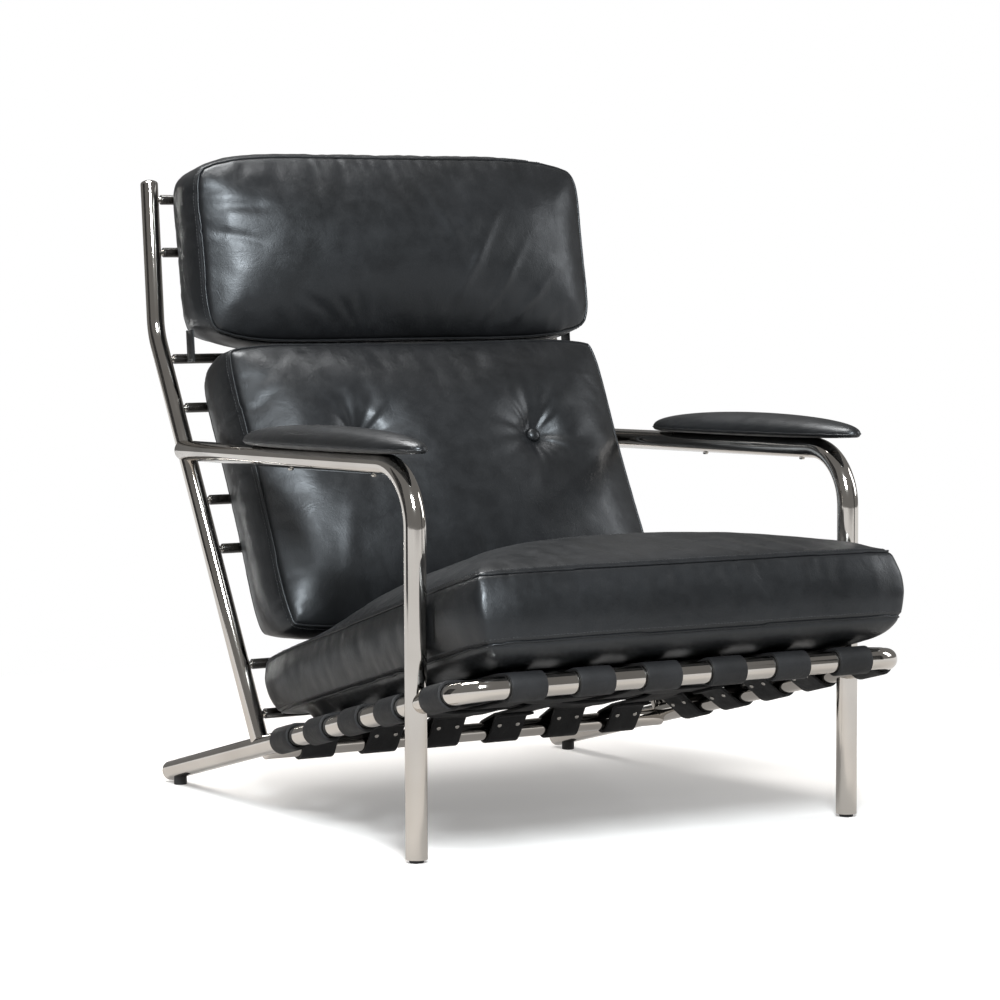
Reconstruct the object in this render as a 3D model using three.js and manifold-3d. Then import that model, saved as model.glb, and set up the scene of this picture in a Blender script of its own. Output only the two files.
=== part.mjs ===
// Cantilever lounge chair: a bent steel tube frame with woven leather webbing,
// loose seat, back and head cushions and two padded arms.
// Millimetres, +Z up. The chair faces -Y; left and right are -X and +X, as seen from the front.
// The origin is on the floor, under the middle of the chair.

import * as THREE from 'three';
import { mergeVertices } from 'three/addons/utils/BufferGeometryUtils.js';
import Module from 'manifold-3d';

const wasm = await Module();
wasm.setup();

// Driving dimensions

const SEAT_FIT = 0.3; // gap left where one piece rests on another

const frame = {
  tubeRadius: 14.3, // side rails, front rail, arms and front legs
  halfSpan: 330, // side rail axis from the middle plane
  frontRailY: -463,
  rearTipHeight: 14, // rail axis over the floor at the tip of the rear foot
  fall: THREE.MathUtils.degToRad(13.8), // side rails fall towards the back
  cornerRadius: 42, // bend between side rail and front rail
  railLength: 914, // front rail axis to the tip of the rear foot, along the side rail
  footDome: 9,
};

const rearRail = {
  radius: 12.7,
  station: 596, // from the front rail axis, along the side rail
  drop: 6, // axis below the side rail axis
};

const arm = {
  outset: 4, // leg and arm axis outside the side rail axis
  legY: -341,
  legTop: 502, // where the arm axis and the leg axis would meet
  rise: THREE.MathUtils.degToRad(1.1), // arm rises towards the front
  bendRadius: 78,
};

const upright = {
  radius: 12.7,
  footStation: 594, // where its axis meets the side rail axis
  lean: THREE.MathUtils.degToRad(30.9),
  upperLean: THREE.MathUtils.degToRad(4.9),
  lowerLength: 658,
  upperLength: 223,
  bendRadius: 90,
  topDome: 6,
};

const rung = {
  pinRadius: 4,
  sleeveRadius: 7.2,
  sleeveBore: 4.3,
  sleeveChamfer: 1.4,
  sleeveInset: 4, // bare pin between sleeve and upright
  lowerShares: [0.073, 0.1885, 0.4635, 0.582, 0.81, 0.933], // of the lower upright
  upperShares: [0.525, 0.87], // of the upper upright
};

const strap = {
  width: 51.5,
  thickness: 4,
  sideGap: 81.5, // outermost lengthwise strap's middle from the side rail axis
  lengthwiseCount: 6,
  firstCross: 65.3, // the strap ahead of the legs, from the front rail axis
  pastLegs: 126.2, // from it to the first strap behind the legs
  crossPitch: 103.8, // between the straps behind the legs
  crossBehindLegs: 4,
  flatMargin: 3, // flat beyond each crossing
  frontTail: { reach: 24, end: 38 }, // lap of the tail under the strap, from the rail axis
  rearTail: { reach: 36, end: 62 },
  sideTail: { reach: 34, end: 54 },
  tailLead: 4, // where the tail turns flat, past the reach of the strap
  wrapSteps: 8,
};

const rivet = {
  headRadius: 3.4,
  shoulderRadius: 2.6,
  headHeight: 1.8,
  shoulderHeight: 1.1,
  rootDepth: 0.8,
  spread: 15, // from the strap's middle line
  sides: 6,
};

const cushionInset = 18; // seat and back cushion, between the arms: inside the side rail axes
const headCushionInset = 10; // head cushion, above the arms

const seatCushion = {
  halfWidth: frame.halfSpan - cushionInset,
  frontOverhang: 35, // front face ahead of the front rail axis
  rearStation: 604, // rear face, at the middle of its height
  border: 90,
  rearTaperShare: 0.09, // how much thinner the border is at the rear
  settle: THREE.MathUtils.degToRad(1.4), // lies deeper at the rear than the side rails
  topCrown: 46,
  bottomCrown: 24,
  drawIn: 6,
  borderBulge: 7,
  cornerRound: 9,
};

const backCushion = {
  halfWidth: frame.halfSpan - cushionInset,
  lean: THREE.MathUtils.degToRad(-3), // against the lower uprights
  bottom: 144, // along the lower upright
  top: upright.lowerLength - 86,
  border: 85,
  frontCrown: 34,
  rearCrown: 14,
  drawIn: 9,
  borderBulge: 6,
  cornerRound: 4,
  tuftHalfSpacing: 145,
  tuftRise: 40, // above the cushion's middle
  tuftDepth: 17,
  tuftRadius: 42,
};

const headCushion = {
  halfWidth: frame.halfSpan - headCushionInset,
  lean: THREE.MathUtils.degToRad(5.5), // beyond the upper uprights
  bottom: -28, // along the upper upright, from the bend
  top: 250,
  border: 72,
  frontCrown: 30,
  rearCrown: 12,
  drawIn: 5,
  borderBulge: 8,
  cornerRound: 6,
};

const stuffing = {
  crownPower: 2.6, // how flat the crown stays before it falls to the seams
  cornerPower: 8, // how closely the rounding keeps to the corners
  pitShare: 0.7, // of a tuft's depth, in the steep pit
  pitWidthShare: 0.5, // of a tuft's radius
};

const button = {
  radius: 10.5,
  domeHeight: 5,
  rimHeight: 2,
  shoulderShares: [0.62, 0.7], // of the radius and of the dome's height
};

const cushionLink = {
  width: 24,
  thickness: 2,
  length: 46,
  height: -25, // middle of the strip, along the upper upright
  forward: 62, // middle of the strip, in front of the upright axis
  probes: 12, // places tried each way to find where it rests
};

const pad = {
  halfLength: 246,
  halfWidth: 30,
  topHeight: 22,
  edgeDepth: 3,
  tipPastLeg: 18, // front tip, ahead of the leg axis
  plateHalfLength: 205,
  plateHalfWidth: 16,
  plateThickness: 2.6,
  screwPastBend: 28, // front screw, behind the start of the arm's bend
  screwSpacing: 240,
  screwRadius: 4.5,
  screwFaceRadius: 3.2,
  screwHeight: 2.4,
  tipPower: 3.5, // how late the width tapers towards the tips
  flatShare: 0.6, // of the lower half, flattened into the underside
};

const glide = {
  radius: 9.5,
  legHeight: 4.2,
  rearInset: 41, // disc's middle from the tip of the rear foot, along the side rail
  rearHeight: 14, // before the hollow for the tube is cut
  chamfer: 1,
};

const facets = {
  tube: 16,
  bend: 7,
  dome: 3,
  pin: 10,
  sleeve: 12,
  glide: 16,
  button: 14,
  screw: 10,
  plate: 8,
};

const SIDES = [['left', -1], ['right', 1]];

const steel = { color: 0xd9d8d4, metalness: 1, roughness: 0.1 };
const leather = { color: 0x1d1f22, metalness: 0, roughness: 0.48 };
const webLeather = { color: 0x18191b, metalness: 0, roughness: 0.62 };
const lacquer = { color: 0x121213, metalness: 0, roughness: 0.3 };
const glidePlastic = { color: 0x101010, metalness: 0, roughness: 0.55 };
const nickel = { color: 0xb9b6ae, metalness: 1, roughness: 0.22 };

// Geometry helpers

// A path that an extrusion follows station by station, so straight lengths take one step.
class StationPath extends THREE.Curve {
  constructor(stations) {
    super();
    this.stations = stations;
  }

  stationAt(t) {
    const last = this.stations.length - 1;
    return this.stations[Math.min(last, Math.round(t * last))];
  }

  getPoint(t) {
    return this.stationAt(t).point.clone();
  }

  getTangent(t) {
    return this.stationAt(t).tangent.clone();
  }

  getPointAt(u) {
    return this.getPoint(u);
  }

  getTangentAt(u) {
    return this.getTangent(u);
  }
}

// Straight lengths between the corners, each corner rounded by its own radius.
function roundedStations(corners, radii) {
  const stations = [];
  const directions = [];
  for (let i = 1; i < corners.length; i += 1) {
    directions.push(corners[i].clone().sub(corners[i - 1]).normalize());
  }
  stations.push({ point: corners[0], tangent: directions[0] });
  for (let i = 1; i < corners.length - 1; i += 1) {
    const before = directions[i - 1];
    const after = directions[i];
    const turn = before.angleTo(after);
    const setBack = radii[i - 1] * Math.tan(turn / 2);
    const start = corners[i].clone().addScaledVector(before, -setBack);
    const axis = before.clone().cross(after).normalize();
    const inward = axis.clone().cross(before);
    const centre = start.clone().addScaledVector(inward, radii[i - 1]);
    for (let step = 0; step <= facets.bend; step += 1) {
      const angle = (turn * step) / facets.bend;
      const radial = start.clone().sub(centre).applyAxisAngle(axis, angle);
      stations.push({ point: centre.clone().add(radial), tangent: before.clone().applyAxisAngle(axis, angle) });
    }
  }
  stations.push({ point: corners[corners.length - 1], tangent: directions[directions.length - 1] });
  return stations;
}

function circleShape(radius, sides) {
  const points = [];
  for (let i = 0; i < sides; i += 1) {
    const angle = (2 * Math.PI * (i + 0.5)) / sides;
    points.push(new THREE.Vector2(radius * Math.cos(angle), radius * Math.sin(angle)));
  }
  return new THREE.Shape(points);
}

function tubeAlong(corners, radii, radius, sides = facets.tube) {
  const stations = roundedStations(corners, radii);
  return new THREE.ExtrudeGeometry(circleShape(radius, sides), {
    extrudePath: new StationPath(stations),
    steps: stations.length - 1,
    bevelEnabled: false,
    curveSegments: 1,
  });
}

// A straight round bar between two points.
function barBetween(from, to, radius, sides = facets.tube) {
  const bar = new THREE.CylinderGeometry(radius, radius, from.distanceTo(to), sides);
  const direction = to.clone().sub(from).normalize();
  bar.applyQuaternion(new THREE.Quaternion().setFromUnitVectors(new THREE.Vector3(0, 1, 0), direction));
  const middle = from.clone().add(to).multiplyScalar(0.5);
  return bar.translate(middle.x, middle.y, middle.z);
}

// A low dome that closes a tube's end, its flat side a little inside the tube.
function domeAt(point, direction, radius, height) {
  const dome = new THREE.SphereGeometry(1, facets.tube, 2 * facets.dome);
  dome.scale(radius * Math.cos(Math.PI / facets.tube), height, radius * Math.cos(Math.PI / facets.tube));
  dome.applyQuaternion(new THREE.Quaternion().setFromUnitVectors(new THREE.Vector3(0, 1, 0), direction));
  return dome.translate(point.x, point.y, point.z);
}

function weld(geometry) {
  const bare = geometry.clone();
  for (const name of Object.keys(bare.attributes)) {
    if (name !== 'position') {
      bare.deleteAttribute(name);
    }
  }
  return mergeVertices(bare);
}

function toSolid(geometry) {
  const welded = weld(geometry);
  return new wasm.Manifold(new wasm.Mesh({
    numProp: 3,
    vertProperties: Float32Array.from(welded.attributes.position.array),
    triVerts: Uint32Array.from(welded.index.array),
  }));
}

function fromSolid(solid) {
  const mesh = solid.getMesh();
  const geometry = new THREE.BufferGeometry();
  geometry.setAttribute('position', new THREE.BufferAttribute(Float32Array.from(mesh.vertProperties), 3));
  geometry.setIndex(Array.from(mesh.triVerts));
  geometry.computeVertexNormals();
  return geometry;
}

function piece(name, geometry, look, parent) {
  const mesh = new THREE.Mesh(geometry, new THREE.MeshStandardMaterial(look));
  mesh.name = name;
  parent.add(mesh);
  return mesh;
}

// Frames of reference

const chair = new THREE.Group();
chair.name = 'cantilever_lounge_chair';

// Seat frame of reference: origin on the front rail axis, +Y back along the side rails, +Z out of the seat.
const seat = new THREE.Group();
const frontRailHeight = frame.rearTipHeight + frame.railLength * Math.sin(frame.fall);
seat.position.set(0, frame.frontRailY, frontRailHeight);
seat.rotation.x = -frame.fall;
chair.add(seat);

// Back frame of reference: origin on the side rail axis, +Z up the lower uprights, -Y towards the sitter.
const back = new THREE.Group();
back.position.set(0, upright.footStation * Math.cos(frame.fall), -upright.footStation * Math.sin(frame.fall));
back.position.add(seat.position);
back.rotation.x = -upright.lean;
chair.add(back);

// Head frame of reference: the same, from the bend up the upper uprights.
const head = new THREE.Group();
head.position.set(0, 0, upright.lowerLength);
head.rotation.x = upright.lean - upright.upperLean;
back.add(head);
chair.updateMatrixWorld(true);

const inSeat = (x, station, height) => new THREE.Vector3(x, station, height);
const toWorld = (group, x, y, z) => new THREE.Vector3(x, y, z).applyMatrix4(group.matrixWorld);

// Seat frame: one tube from foot to foot, round both front corners

function buildSeatFrame() {
  const { halfSpan, railLength, cornerRadius, tubeRadius, footDome } = frame;
  const straight = railLength - footDome;
  const corners = [
    inSeat(-halfSpan, straight, 0),
    inSeat(-halfSpan, 0, 0),
    inSeat(halfSpan, 0, 0),
    inSeat(halfSpan, straight, 0),
  ];
  let solid = toSolid(tubeAlong(corners, [cornerRadius, cornerRadius], tubeRadius));
  for (const [, side] of SIDES) {
    const tip = inSeat(side * halfSpan, straight, 0);
    solid = solid.add(toSolid(domeAt(tip, new THREE.Vector3(0, 1, 0), tubeRadius, footDome)));
  }
  piece('seat_frame', fromSolid(solid), steel, seat);
}

function sideRailCutter(side, clearance) {
  const from = toWorld(seat, side * frame.halfSpan, 0, 0);
  const to = toWorld(seat, side * frame.halfSpan, frame.railLength, 0);
  return barBetween(from, to, frame.tubeRadius + clearance, 2 * facets.tube);
}

function buildRearRail() {
  const { radius, station, drop } = rearRail;
  const from = inSeat(-frame.halfSpan, station, -drop);
  const to = inSeat(frame.halfSpan, station, -drop);
  let solid = toSolid(barBetween(from, to, radius));
  for (const [, side] of SIDES) {
    const rail = barBetween(
      inSeat(side * frame.halfSpan, 0, 0),
      inSeat(side * frame.halfSpan, frame.railLength, 0),
      frame.tubeRadius + SEAT_FIT,
      2 * facets.tube,
    );
    solid = solid.subtract(toSolid(rail));
  }
  piece('rear_rail', fromSolid(keepLargest(solid)), steel, seat);
}

// A cut that leaves crumbs behind keeps only its main body.
function keepLargest(solid) {
  const bodies = solid.decompose();
  bodies.sort((a, b) => b.volume() - a.volume());
  return bodies[0];
}

// Uprights: coped over the side rail, bent once, closed by a low dome

function buildUprights() {
  const { radius, lowerLength, upperLength, bendRadius, topDome, lean, upperLean } = upright;
  const upperDirection = new THREE.Vector3(0, -Math.sin(lean - upperLean), Math.cos(lean - upperLean));
  for (const [name, side] of SIDES) {
    const x = side * frame.halfSpan;
    const foot = new THREE.Vector3(x, 0, 0);
    const bend = new THREE.Vector3(x, 0, lowerLength);
    const top = bend.clone().addScaledVector(upperDirection, upperLength - topDome);
    let solid = toSolid(tubeAlong([foot, bend, top], [bendRadius], radius));
    solid = solid.add(toSolid(domeAt(top, upperDirection, radius, topDome)));
    const rail = sideRailCutter(side, SEAT_FIT).applyMatrix4(back.matrixWorld.clone().invert());
    piece(`upright_${name}`, fromSolid(keepLargest(solid.subtract(toSolid(rail)))), steel, back);
  }
}

// Arms and front legs: one tube from the upright, over the front bend, to the floor

const armJoint = findArmJoint();

// Where the arm axis meets the upright axis, seen from the side.
function findArmJoint() {
  const foot = toWorld(back, 0, 0, 0);
  const slope = Math.tan(arm.rise);
  const run = Math.tan(upright.lean);
  const height = (arm.legTop - slope * (foot.y - run * foot.z - arm.legY)) / (1 + slope * run);
  return new THREE.Vector3(0, foot.y + run * (height - foot.z), height);
}

function buildArms() {
  for (const [name, side] of SIDES) {
    const x = side * (frame.halfSpan + arm.outset);
    const corners = [
      new THREE.Vector3(x, armJoint.y, armJoint.z),
      new THREE.Vector3(x, arm.legY, arm.legTop),
      new THREE.Vector3(x, arm.legY, glide.legHeight + SEAT_FIT),
    ];
    let solid = toSolid(tubeAlong(corners, [arm.bendRadius], frame.tubeRadius));
    const uprightCutter = barBetween(
      toWorld(back, side * frame.halfSpan, 0, 0),
      toWorld(back, side * frame.halfSpan, 0, upright.lowerLength - upright.bendRadius),
      upright.radius + SEAT_FIT,
      2 * facets.tube,
    );
    solid = solid.subtract(toSolid(uprightCutter));
    solid = solid.subtract(toSolid(sideRailCutter(side, SEAT_FIT)));
    piece(`arm_and_leg_${name}`, fromSolid(keepLargest(solid)), steel, chair);
  }
}

// Rungs: a steel pin between the uprights inside a lacquered sleeve

function sleeveGeometry(length) {
  const { sleeveRadius, sleeveBore, sleeveChamfer } = rung;
  const half = length / 2;
  const profile = [
    new THREE.Vector2(sleeveBore, -half),
    new THREE.Vector2(sleeveRadius - sleeveChamfer, -half),
    new THREE.Vector2(sleeveRadius, sleeveChamfer - half),
    new THREE.Vector2(sleeveRadius, half - sleeveChamfer),
    new THREE.Vector2(sleeveRadius - sleeveChamfer, half),
    new THREE.Vector2(sleeveBore, half),
    new THREE.Vector2(sleeveBore, -half),
  ];
  return new THREE.LatheGeometry(profile, facets.sleeve).rotateZ(Math.PI / 2);
}

// Each rung's group and its height along that group's upright.
const rungPlaces = [
  ...rung.lowerShares.map((share) => [back, share * upright.lowerLength]),
  ...rung.upperShares.map((share) => [head, share * upright.upperLength]),
];

function buildRungs() {
  const reach = frame.halfSpan - upright.radius - SEAT_FIT;
  rungPlaces.forEach(([group, height], index) => {
    const from = new THREE.Vector3(-reach, 0, height);
    const to = new THREE.Vector3(reach, 0, height);
    piece(`rung_pin_${index + 1}`, barBetween(from, to, rung.pinRadius, facets.pin), steel, group);
    const sleeve = piece(`rung_sleeve_${index + 1}`, sleeveGeometry(2 * (reach - rung.sleeveInset)), lacquer, group);
    sleeve.position.z = height;
  });
}

// Webbing: each strap is one ribbon that laps round a rail at both ends and back under itself

// How far each strap rises or dips where it crosses another.
const weaveLift = strap.thickness / 2 + SEAT_FIT;

// Polar angle where a line from a point touches a circle round the origin.
function tangentAngle(radius, point, side) {
  return point.angle() + side * Math.acos(radius / point.length());
}

// One end of a strap, from its flat run to the tip of its tail.
// The rail axis is the origin, u runs outwards and v runs up; the result is in order from the run.
function strapEnd(railRadius, runHeight, tail) {
  const { thickness, wrapSteps, tailLead } = strap;
  const radius = railRadius + SEAT_FIT + thickness / 2;
  const leave = new THREE.Vector2(-tail.reach, runHeight);
  const tailHeight = runHeight - thickness - SEAT_FIT;
  const meet = new THREE.Vector2(-tail.reach - tailLead, tailHeight);
  const first = tangentAngle(radius, leave, -1);
  const last = tangentAngle(radius, meet, 1) - 2 * Math.PI;
  // The middle line's sides touch the circle, so its corners lie a little outside it.
  const turn = (last - first) / wrapSteps;
  const cornerRadius = radius / Math.cos(turn / 2);
  const points = [leave];
  for (let step = 0; step < wrapSteps; step += 1) {
    const angle = first + turn * (step + 0.5);
    points.push(new THREE.Vector2(cornerRadius * Math.cos(angle), cornerRadius * Math.sin(angle)));
  }
  points.push(meet, new THREE.Vector2(-tail.end, tailHeight));
  return points;
}

// The ribbon's outline: its middle line set off by half its thickness to both sides.
function ribbonShape(line, thickness) {
  const left = [];
  const right = [];
  line.forEach((point, i) => {
    const before = point.clone().sub(line[Math.max(0, i - 1)]).normalize();
    const after = line[Math.min(line.length - 1, i + 1)].clone().sub(point).normalize();
    const tangent = before.clone().add(after).normalize();
    const cosHalf = Math.max(tangent.dot(i > 0 ? before : after), 0.5);
    const normal = new THREE.Vector2(-tangent.y, tangent.x).multiplyScalar(thickness / 2 / cosHalf);
    left.push(point.clone().add(normal));
    right.push(point.clone().sub(normal));
  });
  return new THREE.Shape([...left, ...right.reverse()]);
}

// A strap in the plane of its length (u) and height (v), width along the third axis.
// rails: start and end rail, each with its place, height, radius and tail; crossings: places with signs.
function strapGeometry(rails, crossings) {
  const { width, thickness, flatMargin } = strap;
  const webHeight = frame.tubeRadius + SEAT_FIT + thickness / 2;
  const heightAt = (crossing) => webHeight + crossing.sign * weaveLift;
  const ends = rails.map((rail, i) => {
    const nearest = i === 0 ? crossings[0] : crossings[crossings.length - 1];
    const outward = i === 0 ? -1 : 1;
    return strapEnd(rail.radius, heightAt(nearest) - rail.height, rail.tail)
      .map((point) => new THREE.Vector2(rail.place + outward * point.x, rail.height + point.y));
  });
  const run = [];
  for (const crossing of crossings) {
    for (const edge of [-1, 1]) {
      const reach = edge * (width / 2 + flatMargin);
      run.push(new THREE.Vector2(crossing.place + reach, heightAt(crossing)));
    }
  }
  run.shift();
  run.pop();
  const line = [...ends[0].reverse(), ...run, ...ends[1]];
  const ribbon = new THREE.ExtrudeGeometry(ribbonShape(line, thickness), { depth: width, bevelEnabled: false });
  let solid = toSolid(ribbon.translate(0, 0, -width / 2));
  for (const [rail, tip] of [[rails[0], line[0]], [rails[1], line[line.length - 1]]]) {
    // The heads sit at the middle of the tail's flat lap.
    const lap = rail.tail.end - rail.tail.reach - strap.tailLead;
    const place = tip.x + (Math.sign(rail.place - tip.x) * lap) / 2;
    for (const side of [-1, 1]) {
      const rivetHead = rivetGeometry().translate(place, tip.y - thickness / 2, side * rivet.spread);
      solid = solid.add(toSolid(rivetHead));
    }
  }
  return fromSolid(solid);
}

// A domed rivet head that hangs under a strap, its root let into the leather.
function rivetGeometry() {
  const { headRadius, shoulderRadius, headHeight, shoulderHeight, rootDepth, sides } = rivet;
  return new THREE.LatheGeometry([
    new THREE.Vector2(0, -headHeight),
    new THREE.Vector2(shoulderRadius, -shoulderHeight),
    new THREE.Vector2(headRadius, 0),
    new THREE.Vector2(shoulderRadius, rootDepth),
    new THREE.Vector2(0, rootDepth),
  ], sides);
}

function buildWebbing() {
  const lengthwisePlaces = Array.from(
    { length: strap.lengthwiseCount },
    (_, i) => (2 * i / (strap.lengthwiseCount - 1) - 1) * (frame.halfSpan - strap.sideGap),
  );
  const frontRail = { place: 0, height: 0, radius: frame.tubeRadius, tail: strap.frontTail };
  const backRail = {
    place: rearRail.station, height: -rearRail.drop, radius: rearRail.radius, tail: strap.rearTail,
  };
  const sideRails = SIDES.map(([, side]) => (
    { place: side * frame.halfSpan, height: 0, radius: frame.tubeRadius, tail: strap.sideTail }));
  const crossStations = [strap.firstCross];
  for (let row = 0; row < strap.crossBehindLegs; row += 1) {
    crossStations.push(strap.firstCross + strap.pastLegs + row * strap.crossPitch);
  }
  const signAt = (column, row) => ((column + row) % 2 === 0 ? 1 : -1);
  const acrossX = new THREE.Matrix4().makeBasis(
    new THREE.Vector3(0, 1, 0), new THREE.Vector3(0, 0, 1), new THREE.Vector3(1, 0, 0));

  lengthwisePlaces.forEach((x, column) => {
    const crossings = crossStations.map((place, row) => ({ place, sign: signAt(column, row) }));
    const ribbon = strapGeometry([frontRail, backRail], crossings);
    // From the drawing plane into the seat's YZ plane.
    ribbon.applyMatrix4(acrossX).translate(x, 0, 0);
    piece(`web_strap_lengthwise_${column + 1}`, ribbon, webLeather, seat);
  });

  crossStations.forEach((station, row) => {
    const crossings = lengthwisePlaces.map((place, column) => ({ place, sign: -signAt(column, row) }));
    const ribbon = strapGeometry(sideRails, crossings);
    // From the drawing plane into the seat's XZ plane.
    ribbon.rotateX(Math.PI / 2).translate(0, station, 0);
    piece(`web_strap_cross_${row + 1}`, ribbon, webLeather, seat);
  });
}

// Cushions: a border between two seams, crowned panels, sides drawn in between the corners

const FULL_RANGE = 2; // each direction of a cushion is counted from -1 to 1

// Local axes: x across, y along, z through the thickness from the middle of the border.
function cushionGeometry(shape) {
  const box = new THREE.BoxGeometry(FULL_RANGE, FULL_RANGE, FULL_RANGE, shape.across, shape.along, shape.deep);
  const position = box.attributes.position;
  const rise = (value) => 1 - Math.abs(value) ** stuffing.crownPower;
  for (let i = 0; i < position.count; i += 1) {
    const u = position.getX(i);
    const v = position.getY(i);
    const w = position.getZ(i);
    const onPanel = Math.abs(w) > 1 - 1e-6;
    const swell = onPanel ? 0 : shape.borderBulge * (1 - w * w);
    const corner = shape.cornerRound * Math.abs(u * v) ** stuffing.cornerPower;
    const halfAcross = shape.halfWidth - shape.drawIn * (1 - v * v) - corner + swell;
    const halfAlong = shape.halfLength - shape.drawIn * (1 - u * u) - corner + swell;
    const x = u * halfAcross;
    let y = v * halfAlong;
    let z = ((w * shape.border) / 2) * (1 - ((shape.rearTaperShare ?? 0) * (v + 1)) / 2);
    if (onPanel) {
      z += (w > 0 ? shape.frontCrown : -shape.rearCrown) * rise(u) * rise(v);
      z -= w > 0 ? tuftDip(shape, x, y) : 0;
    }
    y += (shape.rearRake ?? 0) * z * ((v + 1) / 2);
    position.setXYZ(i, x, y, z);
  }
  return smooth(box);
}

// The hollow round each sewn tuft: a steep pit in a wide, shallow dish.
function tuftDip(shape, x, y) {
  let dip = 0;
  for (const tuft of shape.tufts ?? []) {
    const { pitShare, pitWidthShare } = stuffing;
    const distance = Math.hypot(x - tuft.x, y - tuft.y) / tuft.radius;
    const pit = pitShare * Math.exp(-((distance / pitWidthShare) ** 2));
    const dish = (1 - pitShare) * Math.exp(-(distance ** 2));
    dip = Math.max(dip, tuft.depth * (pit + dish));
  }
  return dip;
}

function smooth(geometry) {
  const welded = weld(geometry);
  welded.computeVertexNormals();
  return welded;
}

function buildCushions() {
  const seatShape = {
    ...seatCushion,
    halfLength: (seatCushion.rearStation + seatCushion.frontOverhang) / 2,
    frontCrown: seatCushion.topCrown,
    rearCrown: seatCushion.bottomCrown,
    rearRake: 1 / Math.tan(Math.PI / 2 - upright.lean + frame.fall),
    across: 12,
    along: 12,
    deep: 3,
  };
  const seatMesh = piece('seat_cushion', cushionGeometry(seatShape), leather, seat);
  seatMesh.position.y = seatShape.halfLength - seatCushion.frontOverhang;
  seatMesh.rotation.x = -seatCushion.settle;
  // The bottom panel's crown rests on the upper straps of the web.
  const webTop = frame.tubeRadius + SEAT_FIT + strap.thickness / 2 + weaveLift + strap.thickness / 2;
  seatMesh.updateMatrix();
  const turned = seatMesh.geometry.clone().applyMatrix4(seatMesh.matrix);
  turned.computeBoundingBox();
  seatMesh.position.z = webTop + SEAT_FIT - turned.boundingBox.min.z;

  const middle = (backCushion.bottom + backCushion.top) / 2;
  const tuftY = backCushion.tuftRise;
  const backShape = {
    ...backCushion,
    halfLength: (backCushion.top - backCushion.bottom) / 2,
    tufts: [-1, 1].map((side) => ({
      x: side * backCushion.tuftHalfSpacing,
      y: tuftY,
      radius: backCushion.tuftRadius,
      depth: backCushion.tuftDepth,
    })),
    across: 22,
    along: 16,
    deep: 3,
  };
  const backMesh = standCushion('back_cushion', backShape, middle, back);
  addButtons(backShape, backMesh);

  const headShape = {
    ...headCushion,
    halfLength: (headCushion.top - headCushion.bottom) / 2,
    across: 12,
    along: 8,
    deep: 3,
  };
  const headMesh = standCushion('head_cushion', headShape, (headCushion.bottom + headCushion.top) / 2, head);
  addCushionLinks([backMesh, headMesh]);
}

// A cushion that stands against the rungs, its crowned face towards the sitter.
function standCushion(name, shape, height, group) {
  const mesh = piece(name, cushionGeometry(shape), leather, group);
  mesh.rotation.x = Math.PI / 2 - shape.lean;
  mesh.position.set(0, -2 * shape.border, height);
  chair.updateMatrixWorld(true);
  const forward = new THREE.Vector3(0, -1, 0).transformDirection(group.matrixWorld);
  let nearest = Infinity;
  for (const [owner, place] of rungPlaces) {
    const probe = new THREE.Raycaster(toWorld(owner, 0, 0, place), forward);
    for (const touch of probe.intersectObject(mesh)) {
      nearest = Math.min(nearest, touch.distance);
    }
  }
  mesh.position.y += nearest - (rung.sleeveRadius + SEAT_FIT) / Math.cos(shape.lean);
  return mesh;
}

function addButtons(shape, cushionMesh) {
  cushionMesh.updateMatrix();
  const [shoulderOut, shoulderUp] = button.shoulderShares;
  const profile = [
    new THREE.Vector2(0, 0),
    new THREE.Vector2(button.radius - button.rimHeight / 2, 0),
    new THREE.Vector2(button.radius, button.rimHeight),
    new THREE.Vector2(button.radius * shoulderOut, button.rimHeight + button.domeHeight * shoulderUp),
    new THREE.Vector2(0, button.rimHeight + button.domeHeight),
  ];
  const surface = new THREE.Raycaster();
  const cushion = new THREE.Mesh(cushionGeometry(shape));
  for (const [name, side] of SIDES) {
    // The button rests on the highest point of the pit under its rim.
    let rest = -Infinity;
    for (let i = 0; i < facets.button; i += 1) {
      const angle = (2 * Math.PI * i) / facets.button;
      const x = side * backCushion.tuftHalfSpacing + button.radius * Math.cos(angle);
      const y = backCushion.tuftRise + button.radius * Math.sin(angle);
      surface.set(new THREE.Vector3(x, y, 2 * shape.border), new THREE.Vector3(0, 0, -1));
      rest = Math.max(rest, surface.intersectObject(cushion)[0].point.z);
    }
    const mesh = piece(`tuft_button_${name}`, new THREE.LatheGeometry(profile, facets.button).rotateX(Math.PI / 2), leather, back);
    mesh.rotation.copy(cushionMesh.rotation);
    mesh.position.set(side * backCushion.tuftHalfSpacing, backCushion.tuftRise, rest + SEAT_FIT);
    mesh.position.applyMatrix4(cushionMesh.matrix);
  }
}

// Leather strips that tie the head cushion to the back cushion, flat against their sides.
function addCushionLinks(cushions) {
  chair.updateMatrixWorld(true);
  const { width, length, thickness, height, forward, probes } = cushionLink;
  const outside = 2 * headCushion.halfWidth;
  const inward = new THREE.Vector3(-1, 0, 0);
  let rest = 0;
  for (let i = 0; i <= probes; i += 1) {
    for (let j = 0; j <= probes; j += 1) {
      const across = forward + width * (i / probes - 1 / 2);
      const along = height + length * (j / probes - 1 / 2);
      const probe = new THREE.Raycaster(toWorld(head, outside, -across, along), inward);
      for (const touch of probe.intersectObjects(cushions)) {
        rest = Math.max(rest, touch.point.x);
      }
    }
  }
  for (const [name, side] of SIDES) {
    const strip = new THREE.BoxGeometry(thickness, width, length);
    const mesh = piece(`cushion_link_${name}`, strip, leather, head);
    mesh.position.set(side * (rest + SEAT_FIT + thickness / 2), -forward, height);
  }
}

// Arm pads: a lens-shaped leather pad on a steel strip, screwed through the arm from below

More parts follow.
